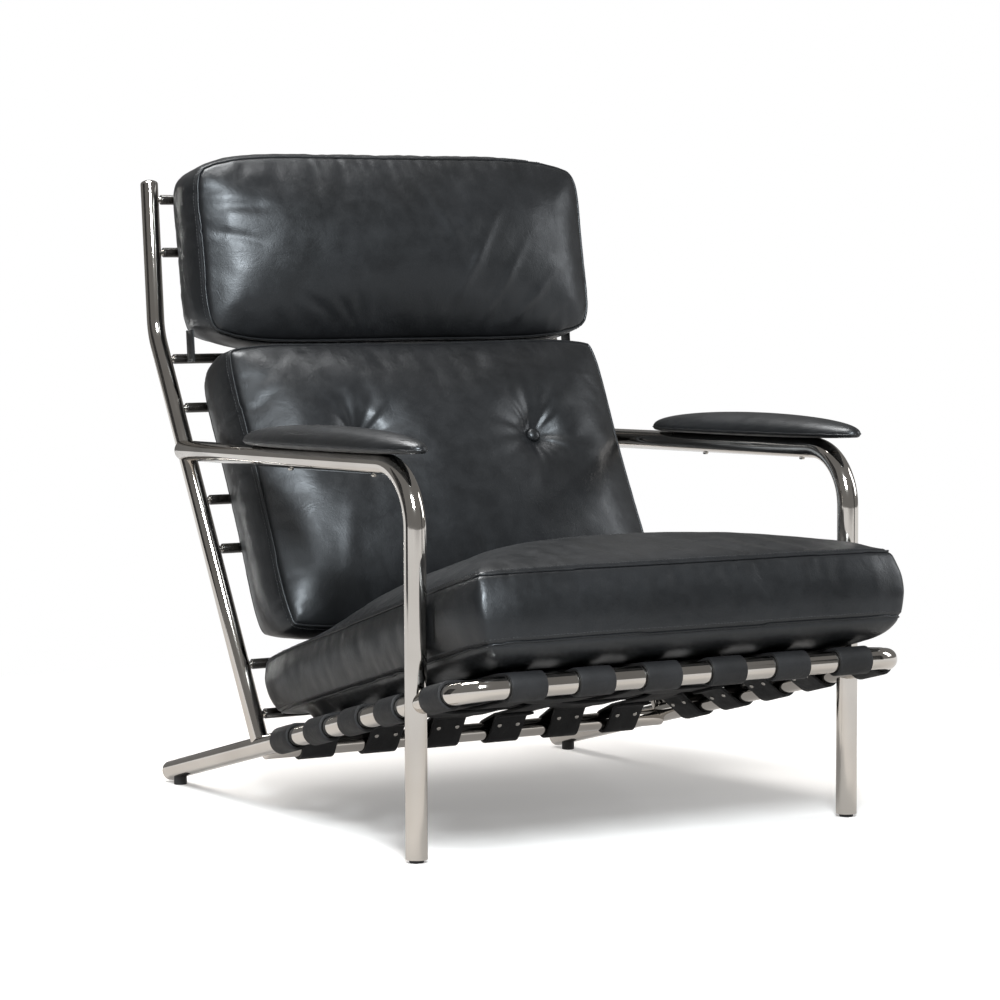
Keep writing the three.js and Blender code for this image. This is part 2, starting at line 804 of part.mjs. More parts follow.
function padGeometry() {
  const form = new THREE.SphereGeometry(1, 16, 14);
  const position = form.attributes.position;
  for (let i = 0; i < position.count; i += 1) {
    const along = position.getY(i);
    const ring = Math.hypot(position.getX(i), position.getZ(i));
    const cos = ring > 0 ? position.getX(i) / ring : 0;
    const sin = ring > 0 ? position.getZ(i) / ring : 0;
    const taper = 1 - Math.abs(along) ** pad.tipPower;
    const width = pad.halfWidth * Math.sqrt(Math.max(taper, 0));
    const height = (sin > 0 ? pad.topHeight : pad.edgeDepth) * Math.sqrt(Math.max(1 - along * along, 0));
    const flatten = sin > 0 ? sin : Math.max(sin, -pad.flatShare) / pad.flatShare;
    position.setXYZ(i, width * cos, along * pad.halfLength, height * flatten);
  }
  return smooth(form);
}

function plateGeometry() {
  const { plateHalfLength, plateHalfWidth, plateThickness } = pad;
  const outline = new THREE.Shape();
  const straight = plateHalfLength - plateHalfWidth;
  outline.absarc(0, straight, plateHalfWidth, 0, Math.PI, false);
  outline.absarc(0, -straight, plateHalfWidth, Math.PI, 2 * Math.PI, false);
  return new THREE.ExtrudeGeometry(outline, { depth: plateThickness, bevelEnabled: false, curveSegments: facets.plate });
}

function screwGeometry() {
  return new THREE.LatheGeometry([
    new THREE.Vector2(0, -pad.screwHeight),
    new THREE.Vector2(pad.screwFaceRadius, -pad.screwHeight),
    new THREE.Vector2(pad.screwRadius, 0),
    new THREE.Vector2(0, 0),
  ], facets.screw).rotateX(Math.PI / 2);
}

function buildArmPads() {
  const armLength = Math.hypot(armJoint.y - arm.legY, arm.legTop - armJoint.z);
  const middle = armLength + pad.tipPastLeg - pad.halfLength;
  const bendStart = armLength - arm.bendRadius * Math.tan((Math.PI / 2 + arm.rise) / 2);
  const screwPlaces = { front: bendStart - pad.screwPastBend };
  screwPlaces.rear = screwPlaces.front - pad.screwSpacing;
  for (const [name, side] of SIDES) {
    const armFrame = new THREE.Group();
    armFrame.position.set(side * (frame.halfSpan + arm.outset), armJoint.y, armJoint.z);
    armFrame.rotation.x = -arm.rise;
    chair.add(armFrame);
    const plateBottom = frame.tubeRadius + SEAT_FIT;
    const plate = piece(`arm_pad_plate_${name}`, plateGeometry(), steel, armFrame);
    plate.position.set(0, -middle, plateBottom);
    const cover = piece(`arm_pad_${name}`, padGeometry(), leather, armFrame);
    cover.position.set(0, -middle, plateBottom + pad.plateThickness + SEAT_FIT + pad.edgeDepth);
    for (const [end, place] of Object.entries(screwPlaces)) {
      const screw = piece(`arm_pad_screw_${name}_${end}`, screwGeometry(), nickel, armFrame);
      screw.position.set(0, -place, -frame.tubeRadius - SEAT_FIT);
    }
  }
}

// Glides: a plastic disc under each front leg and each rear foot

function glideGeometry(height) {
  return new THREE.LatheGeometry([
    new THREE.Vector2(0, 0),
    new THREE.Vector2(glide.radius - glide.chamfer, 0),
    new THREE.Vector2(glide.radius, glide.chamfer),
    new THREE.Vector2(glide.radius, height),
    new THREE.Vector2(0, height),
  ], facets.glide).rotateX(Math.PI / 2);
}

function buildGlides() {
  for (const [name, side] of SIDES) {
    const front = piece(`front_glide_${name}`, glideGeometry(glide.legHeight), glidePlastic, chair);
    front.position.set(side * (frame.halfSpan + arm.outset), arm.legY, 0);
    const spot = toWorld(seat, side * frame.halfSpan, frame.railLength - glide.rearInset, 0);
    const disc = glideGeometry(glide.rearHeight).translate(spot.x, spot.y, 0);
    const solid = toSolid(disc).subtract(toSolid(sideRailCutter(side, SEAT_FIT)));
    piece(`rear_glide_${name}`, fromSolid(keepLargest(solid)), glidePlastic, chair);
  }
}

buildSeatFrame();
buildRearRail();
buildUprights();
buildArms();
buildRungs();
buildWebbing();
buildCushions();
buildArmPads();
buildGlides();

export default chair;
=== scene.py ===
# %% [markdown]
# # A lounge chair of bent steel tube, woven leather straps and three loose cushions
# The frame of the real chair is chromed tube. Six straps run front to back and five run across,
# woven through each other and riveted back on themselves. Three black leather cushions lie on top.
# The measured frame comes in first, and every new piece is fitted to it.

# %% Load the measured frame
import math
import bmesh
import bpy
import numpy as np
from mathutils import Matrix, Vector, noise
from mathutils.bvhtree import BVHTree


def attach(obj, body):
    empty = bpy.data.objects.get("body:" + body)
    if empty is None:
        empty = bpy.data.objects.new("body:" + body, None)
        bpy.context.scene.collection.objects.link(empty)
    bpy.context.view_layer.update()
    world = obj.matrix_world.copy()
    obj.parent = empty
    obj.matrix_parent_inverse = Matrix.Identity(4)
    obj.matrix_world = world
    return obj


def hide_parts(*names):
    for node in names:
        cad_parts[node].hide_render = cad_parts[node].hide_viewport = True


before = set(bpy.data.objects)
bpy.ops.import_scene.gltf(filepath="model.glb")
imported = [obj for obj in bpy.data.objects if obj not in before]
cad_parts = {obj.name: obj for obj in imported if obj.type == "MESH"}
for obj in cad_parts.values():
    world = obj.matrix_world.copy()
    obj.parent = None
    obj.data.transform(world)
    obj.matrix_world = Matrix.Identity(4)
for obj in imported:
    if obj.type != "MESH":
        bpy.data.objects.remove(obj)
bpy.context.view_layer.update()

MM = 0.001

# %% [markdown]
# ## Three ways of looking at the chair
# The side rails fall towards the back, the uprights lean, and above the bend they lean less.
# Modelling in three tilted sets of axes keeps each piece's own numbers simple: the seat's axes
# start on the front rail, the back's where the uprights stand, and the head's at the bend.

# %% The seat's, the back's and the head's axes
FRONT_RAIL_Y = -463 * MM
REAR_TIP_HEIGHT = 14 * MM
RAIL_LENGTH = 914 * MM
FALL = math.radians(13.8)
UPRIGHT_STATION = 594 * MM
LEAN = math.radians(30.9)
UPPER_LEAN = math.radians(4.9)
LOWER_LENGTH = 658 * MM
UPPER_LENGTH = 223 * MM
HALF_SPAN = 330 * MM


def axes(origin, tilt):
    return Matrix.Translation(origin) @ Matrix.Rotation(-tilt, 4, "X")


seat_axes = axes((0, FRONT_RAIL_Y, REAR_TIP_HEIGHT + RAIL_LENGTH * math.sin(FALL)), FALL)
back_axes = axes(seat_axes @ Vector((0, UPRIGHT_STATION, 0)), LEAN)
head_axes = axes(back_axes @ Vector((0, 0, LOWER_LENGTH)), UPPER_LEAN)
print("front rail height", round(seat_axes.translation.z / MM, 1), "mm")

# %% [markdown]
# ## Small helpers
# Operators act on whatever is selected, so each step first lets go of everything and then picks
# one piece. A finished piece keeps its place in its mesh, with its object at the origin.


# %% Select, edit and settle
def let_go():
    if bpy.context.object and bpy.context.object.mode != "OBJECT":
        bpy.ops.object.mode_set(mode="OBJECT")
    bpy.ops.object.select_all(action="DESELECT")


def pick(piece):
    let_go()
    piece.select_set(True)
    bpy.context.view_layer.objects.active = piece


def edit(piece):
    pick(piece)
    bpy.ops.object.mode_set(mode="EDIT")


def new_piece(name):
    piece = bpy.context.object
    piece.name = name
    bpy.ops.object.transform_apply(location=True, rotation=True, scale=True)
    return piece


def move_into(piece, matrix):
    pick(piece)
    piece.data.transform(matrix)
    piece.data.update()


def finish_modifiers(piece):
    pick(piece)
    for modifier in list(piece.modifiers):
        bpy.ops.object.modifier_apply(modifier=modifier.name)


def soften(piece, angle=35):
    pick(piece)
    bpy.ops.object.shade_smooth_by_angle(angle=math.radians(angle))


def outward(piece):
    edit(piece)
    bpy.ops.mesh.select_all(action="SELECT")
    bpy.ops.mesh.remove_doubles(threshold=0.01 * MM)
    bpy.ops.mesh.normals_make_consistent(inside=False)
    let_go()


def copy_of(piece, name):
    twin = piece.copy()
    twin.data = piece.data.copy()
    twin.name = name
    bpy.context.collection.objects.link(twin)
    return twin


def measured_copy(node_name, name):
    """A free copy of a measured piece, to be dressed in its place."""
    twin = copy_of(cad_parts[node_name], name)
    twin.parent = None
    twin.matrix_world = Matrix.Identity(4)
    for key in list(twin.keys()):
        del twin[key]
    return twin


def bevel_rims(piece, axis, bevel):
    """Round the rims at both ends of a bar or disc that stands along an axis."""
    edit(piece)
    bpy.ops.mesh.select_all(action="DESELECT")
    mesh = bmesh.from_edit_mesh(piece.data)
    for edge in mesh.edges:
        edge.select = abs(edge.verts[0].co[axis] - edge.verts[1].co[axis]) < bevel / 10
    bmesh.update_edit_mesh(piece.data)
    bpy.ops.mesh.bevel(offset=bevel, segments=3)
    let_go()
    soften(piece, 40)
    return piece


def piped(line, radius, resolution):
    """Turn a closed line of edges into a round cord."""
    pick(line)
    bpy.ops.object.convert(target="CURVE")
    bpy.context.object.data.bevel_depth = radius
    bpy.context.object.data.bevel_resolution = resolution
    bpy.ops.object.convert(target="MESH")
    cord = bpy.context.object
    soften(cord, 60)
    return cord


def triangles(piece):
    return sum(len(face.vertices) - 2 for face in piece.data.polygons)


# %% [markdown]
# ## The camera
# It stands in front of the chair and to its left, a little above the seat, with a long lens.
# Its place was found by fitting the tube edges and the strap corners to the picture.

# %% Place the camera
CAMERA_AT = Vector((-2.28204, -3.92307, 0.75671))
CAMERA_AZIMUTH = math.radians(29.995)
CAMERA_PITCH = math.radians(4.768)
CAMERA_ROLL = math.radians(-0.207)
LENS, SENSOR_WIDTH = 117.47, 36
SHIFT_X, SHIFT_Y = 0.0025, 0.0338
FAR_CLIP = 60
camera_data = bpy.data.cameras.new("camera")
camera = bpy.data.objects.new("camera", camera_data)
bpy.context.collection.objects.link(camera)
ahead = Vector((
    math.sin(CAMERA_AZIMUTH) * math.cos(CAMERA_PITCH),
    math.cos(CAMERA_AZIMUTH) * math.cos(CAMERA_PITCH),
    -math.sin(CAMERA_PITCH)))
right = Vector((math.cos(CAMERA_AZIMUTH), -math.sin(CAMERA_AZIMUTH), 0))
up = right.cross(ahead)
right, up = (
    right * math.cos(CAMERA_ROLL) + up * math.sin(CAMERA_ROLL),
    up * math.cos(CAMERA_ROLL) - right * math.sin(CAMERA_ROLL))
turn = Matrix((right, up, -ahead)).transposed()
camera.matrix_world = Matrix.Translation(CAMERA_AT) @ turn.to_4x4()
camera_data.lens, camera_data.sensor_width = LENS, SENSOR_WIDTH
camera_data.shift_x, camera_data.shift_y = SHIFT_X, SHIFT_Y
camera_data.clip_end = FAR_CLIP
bpy.context.scene.camera = camera
print("camera", [round(v, 3) for v in CAMERA_AT])

# %% [markdown]
# ## Shared effects
# Leather grain shows on the cushions, the pads and the straps, only finer or coarser, so it is a
# node group with its own inputs. Polished metal also has one: a slow drift in how sharply it
# mirrors, and a faint unevenness of its surface.


# %% Node group helpers
def new_group(name, inputs, outputs):
    """A group with a vector and some numbers going in, and numbers coming out."""
    group = bpy.data.node_groups.new(name, "ShaderNodeTree")
    sockets = group.interface
    sockets.new_socket(name="Vector", in_out="INPUT", socket_type="NodeSocketVector")
    for label, value in inputs.items():
        socket = sockets.new_socket(name=label, in_out="INPUT", socket_type="NodeSocketFloat")
        socket.default_value = value
    for label in outputs:
        sockets.new_socket(name=label, in_out="OUTPUT", socket_type="NodeSocketFloat")
    return group, group.nodes.new("NodeGroupInput"), group.nodes.new("NodeGroupOutput")


def feed(tree, socket, value):
    """Give a socket a number, or link another node's output to it."""
    if isinstance(value, (int, float)):
        socket.default_value = value
    else:
        tree.links.new(value, socket)


def math_node(tree, operation, first, second):
    node = tree.nodes.new("ShaderNodeMath")
    node.operation = operation
    feed(tree, node.inputs[0], first)
    feed(tree, node.inputs[1], second)
    return node.outputs[0]


def range_node(tree, value, low, high, to_low, to_high):
    node = tree.nodes.new("ShaderNodeMapRange")
    tree.links.new(value, node.inputs["Value"])
    ends = {"From Min": low, "From Max": high, "To Min": to_low, "To Max": to_high}
    for label, number in ends.items():
        feed(tree, node.inputs[label], number)
    return node.outputs["Result"]


def spread_over(tree, value, low, high):
    """Noise stays near its middle, so that part of it is stretched from low to high."""
    return range_node(tree, value, 0.3, 0.7, low, high)


def noise_node(tree, vector, scale, detail, roughness=0.5, distortion=0.0):
    node = tree.nodes.new("ShaderNodeTexNoise")
    tree.links.new(vector, node.inputs["Vector"])
    settings = {"Scale": scale, "Detail": detail, "Roughness": roughness, "Distortion": distortion}
    for label, value in settings.items():
        feed(tree, node.inputs[label], value)
    return node.outputs["Fac"]


# %% The leather grain group
def build_leather_grain():
    group, inputs, outputs = new_group(
        "leather_grain", {"Pebble Scale": 700.0, "Crease Scale": 26.0, "Pebble": 0.5, "Crease": 0.5},
        ("Height", "Tone", "Sheen Drift"))
    vector = inputs.outputs["Vector"]
    warp = noise_node(group, vector, 160.0, 2.0)
    cells = group.nodes.new("ShaderNodeTexVoronoi")
    cells.feature = "F1"
    group.links.new(vector, cells.inputs["Vector"])
    group.links.new(inputs.outputs["Pebble Scale"], cells.inputs["Scale"])
    pebble = math_node(group, "SUBTRACT", 1.0, cells.outputs["Distance"])
    pebble = math_node(group, "MULTIPLY", pebble, spread_over(group, warp, 0.4, 1.0))
    pebble = math_node(group, "MULTIPLY", pebble, inputs.outputs["Pebble"])
    crease = noise_node(group, vector, inputs.outputs["Crease Scale"], 5.0, 0.62, 0.6)
    ridge = math_node(group, "ABSOLUTE", math_node(group, "SUBTRACT", crease, 0.5), 0.0)
    ridge = range_node(group, ridge, 0.0, 0.09, 0.0, 1.0)
    fold = math_node(group, "ADD", ridge, crease)
    fold = math_node(group, "MULTIPLY", fold, inputs.outputs["Crease"])
    group.links.new(math_node(group, "ADD", pebble, fold), outputs.inputs["Height"])
    group.links.new(noise_node(group, vector, 9.0, 3.0), outputs.inputs["Tone"])
    group.links.new(noise_node(group, vector, 42.0, 4.0, 0.6, 0.3), outputs.inputs["Sheen Drift"])
    return group


leather_grain = build_leather_grain()
print("group", leather_grain.name, "with", len(leather_grain.nodes), "nodes")


# %% The polished metal group
def build_polish():
    group, inputs, outputs = new_group(
        "wheel_polish", {"Low": 0.04, "High": 0.12}, ("Roughness", "Height", "Tone"))
    vector = inputs.outputs["Vector"]
    drift = noise_node(group, vector, 14.0, 4.0)
    roughness = spread_over(group, drift, inputs.outputs["Low"], inputs.outputs["High"])
    group.links.new(roughness, outputs.inputs["Roughness"])
    group.links.new(noise_node(group, vector, 24.0, 2.0), outputs.inputs["Height"])
    group.links.new(noise_node(group, vector, 7.0, 3.0), outputs.inputs["Tone"])
    return group


wheel_polish = build_polish()
print("group", wheel_polish.name, "with", len(wheel_polish.nodes), "nodes")


# %% Material helpers
def start_material(name):
    material = bpy.data.materials.new(name)
    material.use_nodes = True
    tree = material.node_tree
    coordinates = tree.nodes.new("ShaderNodeTexCoord").outputs["Object"]
    return material, tree, tree.nodes["Principled BSDF"], coordinates


def place_group(tree, group, vector, **values):
    node = tree.nodes.new("ShaderNodeGroup")
    node.node_tree = group
    tree.links.new(vector, node.inputs["Vector"])
    for label, value in values.items():
        node.inputs[label.replace("_", " ")].default_value = value
    return node


def bump(tree, shader, height, strength, distance):
    node = tree.nodes.new("ShaderNodeBump")
    node.inputs["Strength"].default_value = strength
    node.inputs["Distance"].default_value = distance
    tree.links.new(height, node.inputs["Height"])
    tree.links.new(node.outputs["Normal"], shader.inputs["Normal"])


def two_tones(tree, value, dark, light):
    ramp = tree.nodes.new("ShaderNodeValToRGB")
    stops = ramp.color_ramp.elements
    stops[0].position, stops[0].color = 0.35, (*dark, 1)
    stops[1].position, stops[1].color = 0.65, (*light, 1)
    tree.links.new(value, ramp.inputs["Fac"])
    return ramp.outputs["Color"]


# %% [markdown]
# ## The finishes
# Cushion leather is black, with a cool sheen where light rakes it. The straps are duller and
# thicker. The tubes are plated and polished, so they show the room: their finish is mostly what
# they reflect. The rungs wear glossy black sleeves, and the glides are plain black plastic.


# %% Leather for the cushions, pads, buttons and links, and for the straps
def leather_material(name, grain_values, tones, roughness, specular, bump_values):
    material, tree, shader, where = start_material(name)
    grain = place_group(tree, leather_grain, where, **grain_values)
    tree.links.new(two_tones(tree, grain.outputs["Tone"], *tones), shader.inputs["Base Color"])
    sheen = spread_over(tree, grain.outputs["Sheen Drift"], *roughness)
    tree.links.new(sheen, shader.inputs["Roughness"])
    shader.inputs["Specular IOR Level"].default_value = specular
    bump(tree, shader, grain.outputs["Height"], *bump_values)
    return material


def cushion_leather_material(name, pebble_depth):
    material = leather_material(
        name, dict(Pebble_Scale=620.0, Crease_Scale=30.0, Pebble=pebble_depth, Crease=0.35),
        ((0.0050, 0.0053, 0.0058), (0.0085, 0.0090, 0.0100)), (0.33, 0.45), 0.5, (0.42, 0.45 * MM))
    shader = material.node_tree.nodes["Principled BSDF"]
    shader.inputs["Specular Tint"].default_value = (0.90, 0.95, 1.0, 1.0)
    shader.inputs["Coat Weight"].default_value = 0.06
    shader.inputs["Coat Roughness"].default_value = 0.38
    return material


cushion_leather = cushion_leather_material("cushion_leather", 0.55)
pad_leather = cushion_leather_material("pad_leather", 0.35)
strap_leather = leather_material(
    "strap_leather", dict(Pebble_Scale=480.0, Crease_Scale=44.0, Pebble=0.7, Crease=0.5),
    ((0.006, 0.0062, 0.0068), (0.0125, 0.013, 0.0145)), (0.52, 0.68), 0.4, (0.5, 0.5 * MM))


# %% Plated tube, nickel, lacquer, plastic and thread
def metal_material(name, dark, light, low, high):
    material, tree, shader, where = start_material(name)
    polish = place_group(tree, wheel_polish, where, Low=low, High=high)
    tree.links.new(two_tones(tree, polish.outputs["Tone"], dark, light), shader.inputs["Base Color"])
    tree.links.new(polish.outputs["Roughness"], shader.inputs["Roughness"])
    shader.inputs["Metallic"].default_value = 1.0
    bump(tree, shader, polish.outputs["Height"], 0.10, 0.2 * MM)
    return material


polished_steel = metal_material(
    "polished_steel", (0.60, 0.565, 0.525), (0.69, 0.655, 0.615), 0.05, 0.10)
nickel = metal_material("nickel", (0.50, 0.48, 0.45), (0.66, 0.64, 0.60), 0.16, 0.30)


def dark_material(name, colour, roughness, grain_scale, depth, coat=0.0):
    material, tree, shader, where = start_material(name)
    drift = noise_node(tree, where, 30.0, 3.0)
    lighter = tuple(1.5 * c for c in colour)
    tree.links.new(two_tones(tree, drift, colour, lighter), shader.inputs["Base Color"])
    tree.links.new(spread_over(tree, drift, *roughness), shader.inputs["Roughness"])
    shader.inputs["Coat Weight"].default_value = coat
    shader.inputs["Coat Roughness"].default_value = 0.08
    bump(tree, shader, noise_node(tree, where, grain_scale, 3.0), 0.25, depth)
    return material


black_lacquer = dark_material(
    "black_lacquer", (0.010, 0.009, 0.008), (0.16, 0.26), 60.0, 0.2 * MM, coat=0.6)
black_plastic = dark_material(
    "black_plastic", (0.013, 0.013, 0.014), (0.45, 0.6), 900.0, 0.15 * MM)
thread = dark_material("thread", (0.020, 0.021, 0.023), (0.55, 0.7), 1800.0, 0.15 * MM)
print("materials", [m.name for m in bpy.data.materials if m.use_nodes])


# %% Dress a piece
def dress(piece, material, slot_name, *nodes):
    piece.data.materials.clear()
    piece.data.materials.append(material)
    for face in piece.data.polygons:
        face.material_index = 0
    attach(piece, "root")
    if nodes:
        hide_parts(*nodes)
    print(piece.name, triangles(piece), "triangles")


# %% [markdown]
# ## Bent tubes
# A tube bender pulls straight tube round a die, so each bend is an arc. The same happens here:
# a circle is extruded along the straights and spun round the middle of each bend. Both ends are
# closed by a low dome, made of rings that shrink. Curve objects would do as well, but spinning
# keeps an even ring of faces, which a mirror finish needs.

# %% Rings, straights, bends and domes
TUBE_SIDES = 56
BEND_STEP = math.radians(4)
DOME_RINGS = 6


def along(direction):
    return direction.to_track_quat("Z", "Y").to_euler()


def extrude(offset):
    bpy.ops.mesh.extrude_region_move(TRANSFORM_OT_translate={"value": offset})


def dome_over(centre, direction, height):
    at = centre.copy()
    for ring in range(1, DOME_RINGS + 1):
        before, after = ((math.pi / 2) * k / (DOME_RINGS + 1) for k in (ring - 1, ring))
        rise = direction * height * (math.sin(after) - math.sin(before))
        extrude(rise)
        at += rise
        scale = math.cos(after) / math.cos(before)
        bpy.ops.transform.resize(value=(scale, scale, scale), center_override=at)
    extrude(direction * height * 0.01)
    bpy.ops.mesh.merge(type="CENTER")


def select_ring(piece, centre, radius):
    mesh = bmesh.from_edit_mesh(piece.data)
    for vertex in mesh.verts:
        vertex.select_set(False)
    for vertex in mesh.verts:
        vertex.select = (vertex.co - centre).length < radius * 1.01
    mesh.select_flush(True)
    bmesh.update_edit_mesh(piece.data)


def bent_tube(name, corners, bends, radius, domes):
    corners = [Vector(corner) for corner in corners]
    first = (corners[1] - corners[0]).normalized()
    last = (corners[-1] - corners[-2]).normalized()
    let_go()
    bpy.ops.mesh.primitive_circle_add(
        vertices=TUBE_SIDES, radius=radius, fill_type="NOTHING",
        location=corners[0], rotation=along(first))
    tube = new_piece(name)
    edit(tube)
    bpy.ops.mesh.select_all(action="SELECT")
    at = corners[0]
    for corner, before, after, bend in zip(corners[1:-1], corners, corners[2:], bends):
        into, out = (corner - before).normalized(), (after - corner).normalized()
        angle = into.angle(out)
        reach = bend * math.tan(angle / 2)
        start = corner - into * reach
        extrude(start - at)
        axis = into.cross(out).normalized()
        # Spin turns the other way from the right-hand rule, so its axis is reversed.
        bpy.ops.mesh.spin(
            steps=max(2, round(angle / BEND_STEP)), angle=angle,
            center=start + axis.cross(into) * bend, axis=-axis)
        at = corner + out * reach
    extrude(corners[-1] - at)
    dome_over(corners[-1], last, domes[1])
    select_ring(tube, corners[0], radius)
    dome_over(corners[0], -first, domes[0])
    outward(tube)
    soften(tube, 50)
    return tube


# %% [markdown]
# ## The seat frame
# One tube runs from the left rear foot, forward as the side rail, across the front and back to
# the right rear foot, with a tight bend at each front corner. The rear ends rest on the floor.

# %% Bend the seat frame and fit the rear rail
TUBE = 14.3 * MM
SLIM_TUBE = 12.7 * MM
FRONT_BEND = 42 * MM
FOOT_DOME = 9 * MM
HIDDEN_DOME = 2 * MM  # for an end that is welded into another tube
REAR_RAIL_AT = Vector((0, 596, -6)) * MM


def in_seat(x, station, height=0.0):
    return seat_axes @ Vector((x, station, height))


straight_end = RAIL_LENGTH - FOOT_DOME
seat_frame = bent_tube(
    "tube_seat_frame",
    [in_seat(-HALF_SPAN, straight_end), in_seat(-HALF_SPAN, 0),
     in_seat(HALF_SPAN, 0), in_seat(HALF_SPAN, straight_end)],
    [FRONT_BEND, FRONT_BEND], TUBE, (FOOT_DOME, FOOT_DOME))
dress(seat_frame, polished_steel, "polished_steel", "seat_frame")

rail_reach = HALF_SPAN - 6 * MM
rear_rail = bent_tube(
    "tube_rear_rail",
    [in_seat(x, REAR_RAIL_AT.y, REAR_RAIL_AT.z) for x in (-rail_reach, rail_reach)],
    [], SLIM_TUBE, (HIDDEN_DOME, HIDDEN_DOME))
dress(rear_rail, polished_steel, "polished_steel", "rear_rail")

# %% [markdown]
# ## Uprights, arms and front legs
# Each upright is a slimmer tube that stands on the side rail and is bent once, at the height of
# the neck. Arm and front leg are one tube: from the upright, forward, over the bend, to the floor.
# Where two tubes are welded, one is coped over the other. Here it simply enters it, because a cut
# through a mirror-smooth surface would disturb its shading.

# %% Bend the uprights, the arms and the legs
UPRIGHT_BEND = 90 * MM
TOP_DOME = 6 * MM
ARM_OUTSET = 4 * MM
LEG_Y = -341 * MM
LEG_TOP = 502 * MM
ARM_RISE = math.radians(1.1)
ARM_BEND = 78 * MM
LEG_BOTTOM = 4.5 * MM

upright_foot = back_axes @ Vector((0, 0, 0))
run = math.tan(LEAN)
slope = math.tan(ARM_RISE)
joint_height = (LEG_TOP - slope * (upright_foot.y - run * upright_foot.z - LEG_Y)) / (1 + slope * run)
arm_joint = Vector((0, upright_foot.y + run * (joint_height - upright_foot.z), joint_height))
print("arm meets upright at", [round(v / MM, 1) for v in arm_joint])

for side_name, side in (("left", -1), ("right", 1)):
    x = side * HALF_SPAN
    bend_corner = back_axes @ Vector((x, 0, LOWER_LENGTH))
    upper_end = head_axes @ Vector((x, 0, UPPER_LENGTH - TOP_DOME))
    upright = bent_tube(
        "tube_upright_" + side_name,
        [back_axes @ Vector((x, 0, 3 * MM)), bend_corner, upper_end],
        [UPRIGHT_BEND], SLIM_TUBE, (HIDDEN_DOME, TOP_DOME))
    dress(upright, polished_steel, "polished_steel", "upright_" + side_name)

    x = side * (HALF_SPAN + ARM_OUTSET)
    arm = bent_tube(
        "tube_arm_and_leg_" + side_name,
        [(x, arm_joint.y, arm_joint.z), (x, LEG_Y, LEG_TOP), (x, LEG_Y, LEG_BOTTOM)],
        [ARM_BEND], TUBE, (3 * MM, 0.3 * MM))
    dress(arm, polished_steel, "polished_steel", "arm_and_leg_" + side_name)

# %% [markdown]
# ## Rungs
# Eight rungs join the uprights: a steel pin inside a glossy black sleeve that stops short of the
# tubes, so a little bright pin shows at each end. One rung is modelled and copied.

# %% Rungs
PIN = 4 * MM
SLEEVE = 7.2 * MM
SLEEVE_GAP = 4 * MM
SLEEVE_BEVEL = 1.2 * MM
LOWER_SHARES = (0.073, 0.1885, 0.4635, 0.582, 0.81, 0.933)
UPPER_SHARES = (0.525, 0.87)
pin_reach = HALF_SPAN - SLIM_TUBE


def round_bar(name, radius, half_length, sides, bevel):
    let_go()
    bpy.ops.mesh.primitive_cylinder_add(
        vertices=sides, radius=radius, depth=2 * half_length, rotation=(0, math.pi / 2, 0))
    return bevel_rims(new_piece(name), 0, bevel)


rung_places = [back_axes @ Matrix.Translation((0, 0, share * LOWER_LENGTH)) for share in LOWER_SHARES]
rung_places += [head_axes @ Matrix.Translation((0, 0, share * UPPER_LENGTH)) for share in UPPER_SHARES]
pin_model = round_bar("pin_model", PIN, pin_reach + 1 * MM, 24, 0.3 * MM)
sleeve_model = round_bar("sleeve_model", SLEEVE, pin_reach - SLEEVE_GAP, 36, SLEEVE_BEVEL)
for number, place in enumerate(rung_places, 1):
    for model, kind, material, slot_name in (
            (pin_model, "pin", polished_steel, "polished_steel"),
            (sleeve_model, "sleeve", black_lacquer, "black_lacquer")):
        rung = copy_of(model, "round_rung_{}_{}".format(kind, number))
        move_into(rung, place)
        dress(rung, material, slot_name, "rung_{}_{}".format(kind, number))
bpy.data.objects.remove(pin_model)
bpy.data.objects.remove(sleeve_model)

# %% [markdown]
# ## Woven straps
# Each strap is a thick leather ribbon. It goes over one crossing strap and under the next, laps
# round a rail at each end and comes back under itself, where two rivets hold it. A flat grid is
# laid row by row along that path and then given its thickness and its rounded edges. Only four
# different straps exist, two each way, and the others are copies.

# %% The path of a strap, seen from its edge
STRAP_WIDTH = 51.5 * MM
STRAP_THICKNESS = 4 * MM
FIT = 0.3 * MM
FIRST_CROSS, PAST_LEGS, CROSS_PITCH = 65.3 * MM, 126.2 * MM, 103.8 * MM
CROSS_STATIONS = [FIRST_CROSS] + [FIRST_CROSS + PAST_LEGS + row * CROSS_PITCH for row in range(4)]
SIDE_GAP = 81.5 * MM
OUTERMOST = HALF_SPAN - SIDE_GAP
LENGTHWISE_PLACES = [(2 * column / 5 - 1) * OUTERMOST for column in range(6)]
WEAVE_LIFT = STRAP_THICKNESS / 2 + FIT
FLAT_MARGIN = 3 * MM
TAIL_LEAD = 4 * MM
WRAP_STEPS = 22
EASE_STEPS = 5
WEB_HEIGHT = TUBE + FIT + STRAP_THICKNESS / 2


def tangent_angle(radius, point, turn_side):
    return math.atan2(point[1], point[0]) + turn_side * math.acos(radius / math.hypot(*point))


def wrapped_end(rail_radius, run_height, reach, end):
    radius = rail_radius + FIT + STRAP_THICKNESS / 2
    tail_height = run_height - STRAP_THICKNESS - FIT
    leave, meet = (-reach, run_height), (-reach - TAIL_LEAD, tail_height)
    first = tangent_angle(radius, leave, -1)
    last = tangent_angle(radius, meet, 1) - 2 * math.pi
    points = [leave]
    for step in range(WRAP_STEPS + 1):
        angle = first + (last - first) * step / WRAP_STEPS
        points.append((radius * math.cos(angle), radius * math.sin(angle)))
    points += [meet, (-end, tail_height)]
    return points


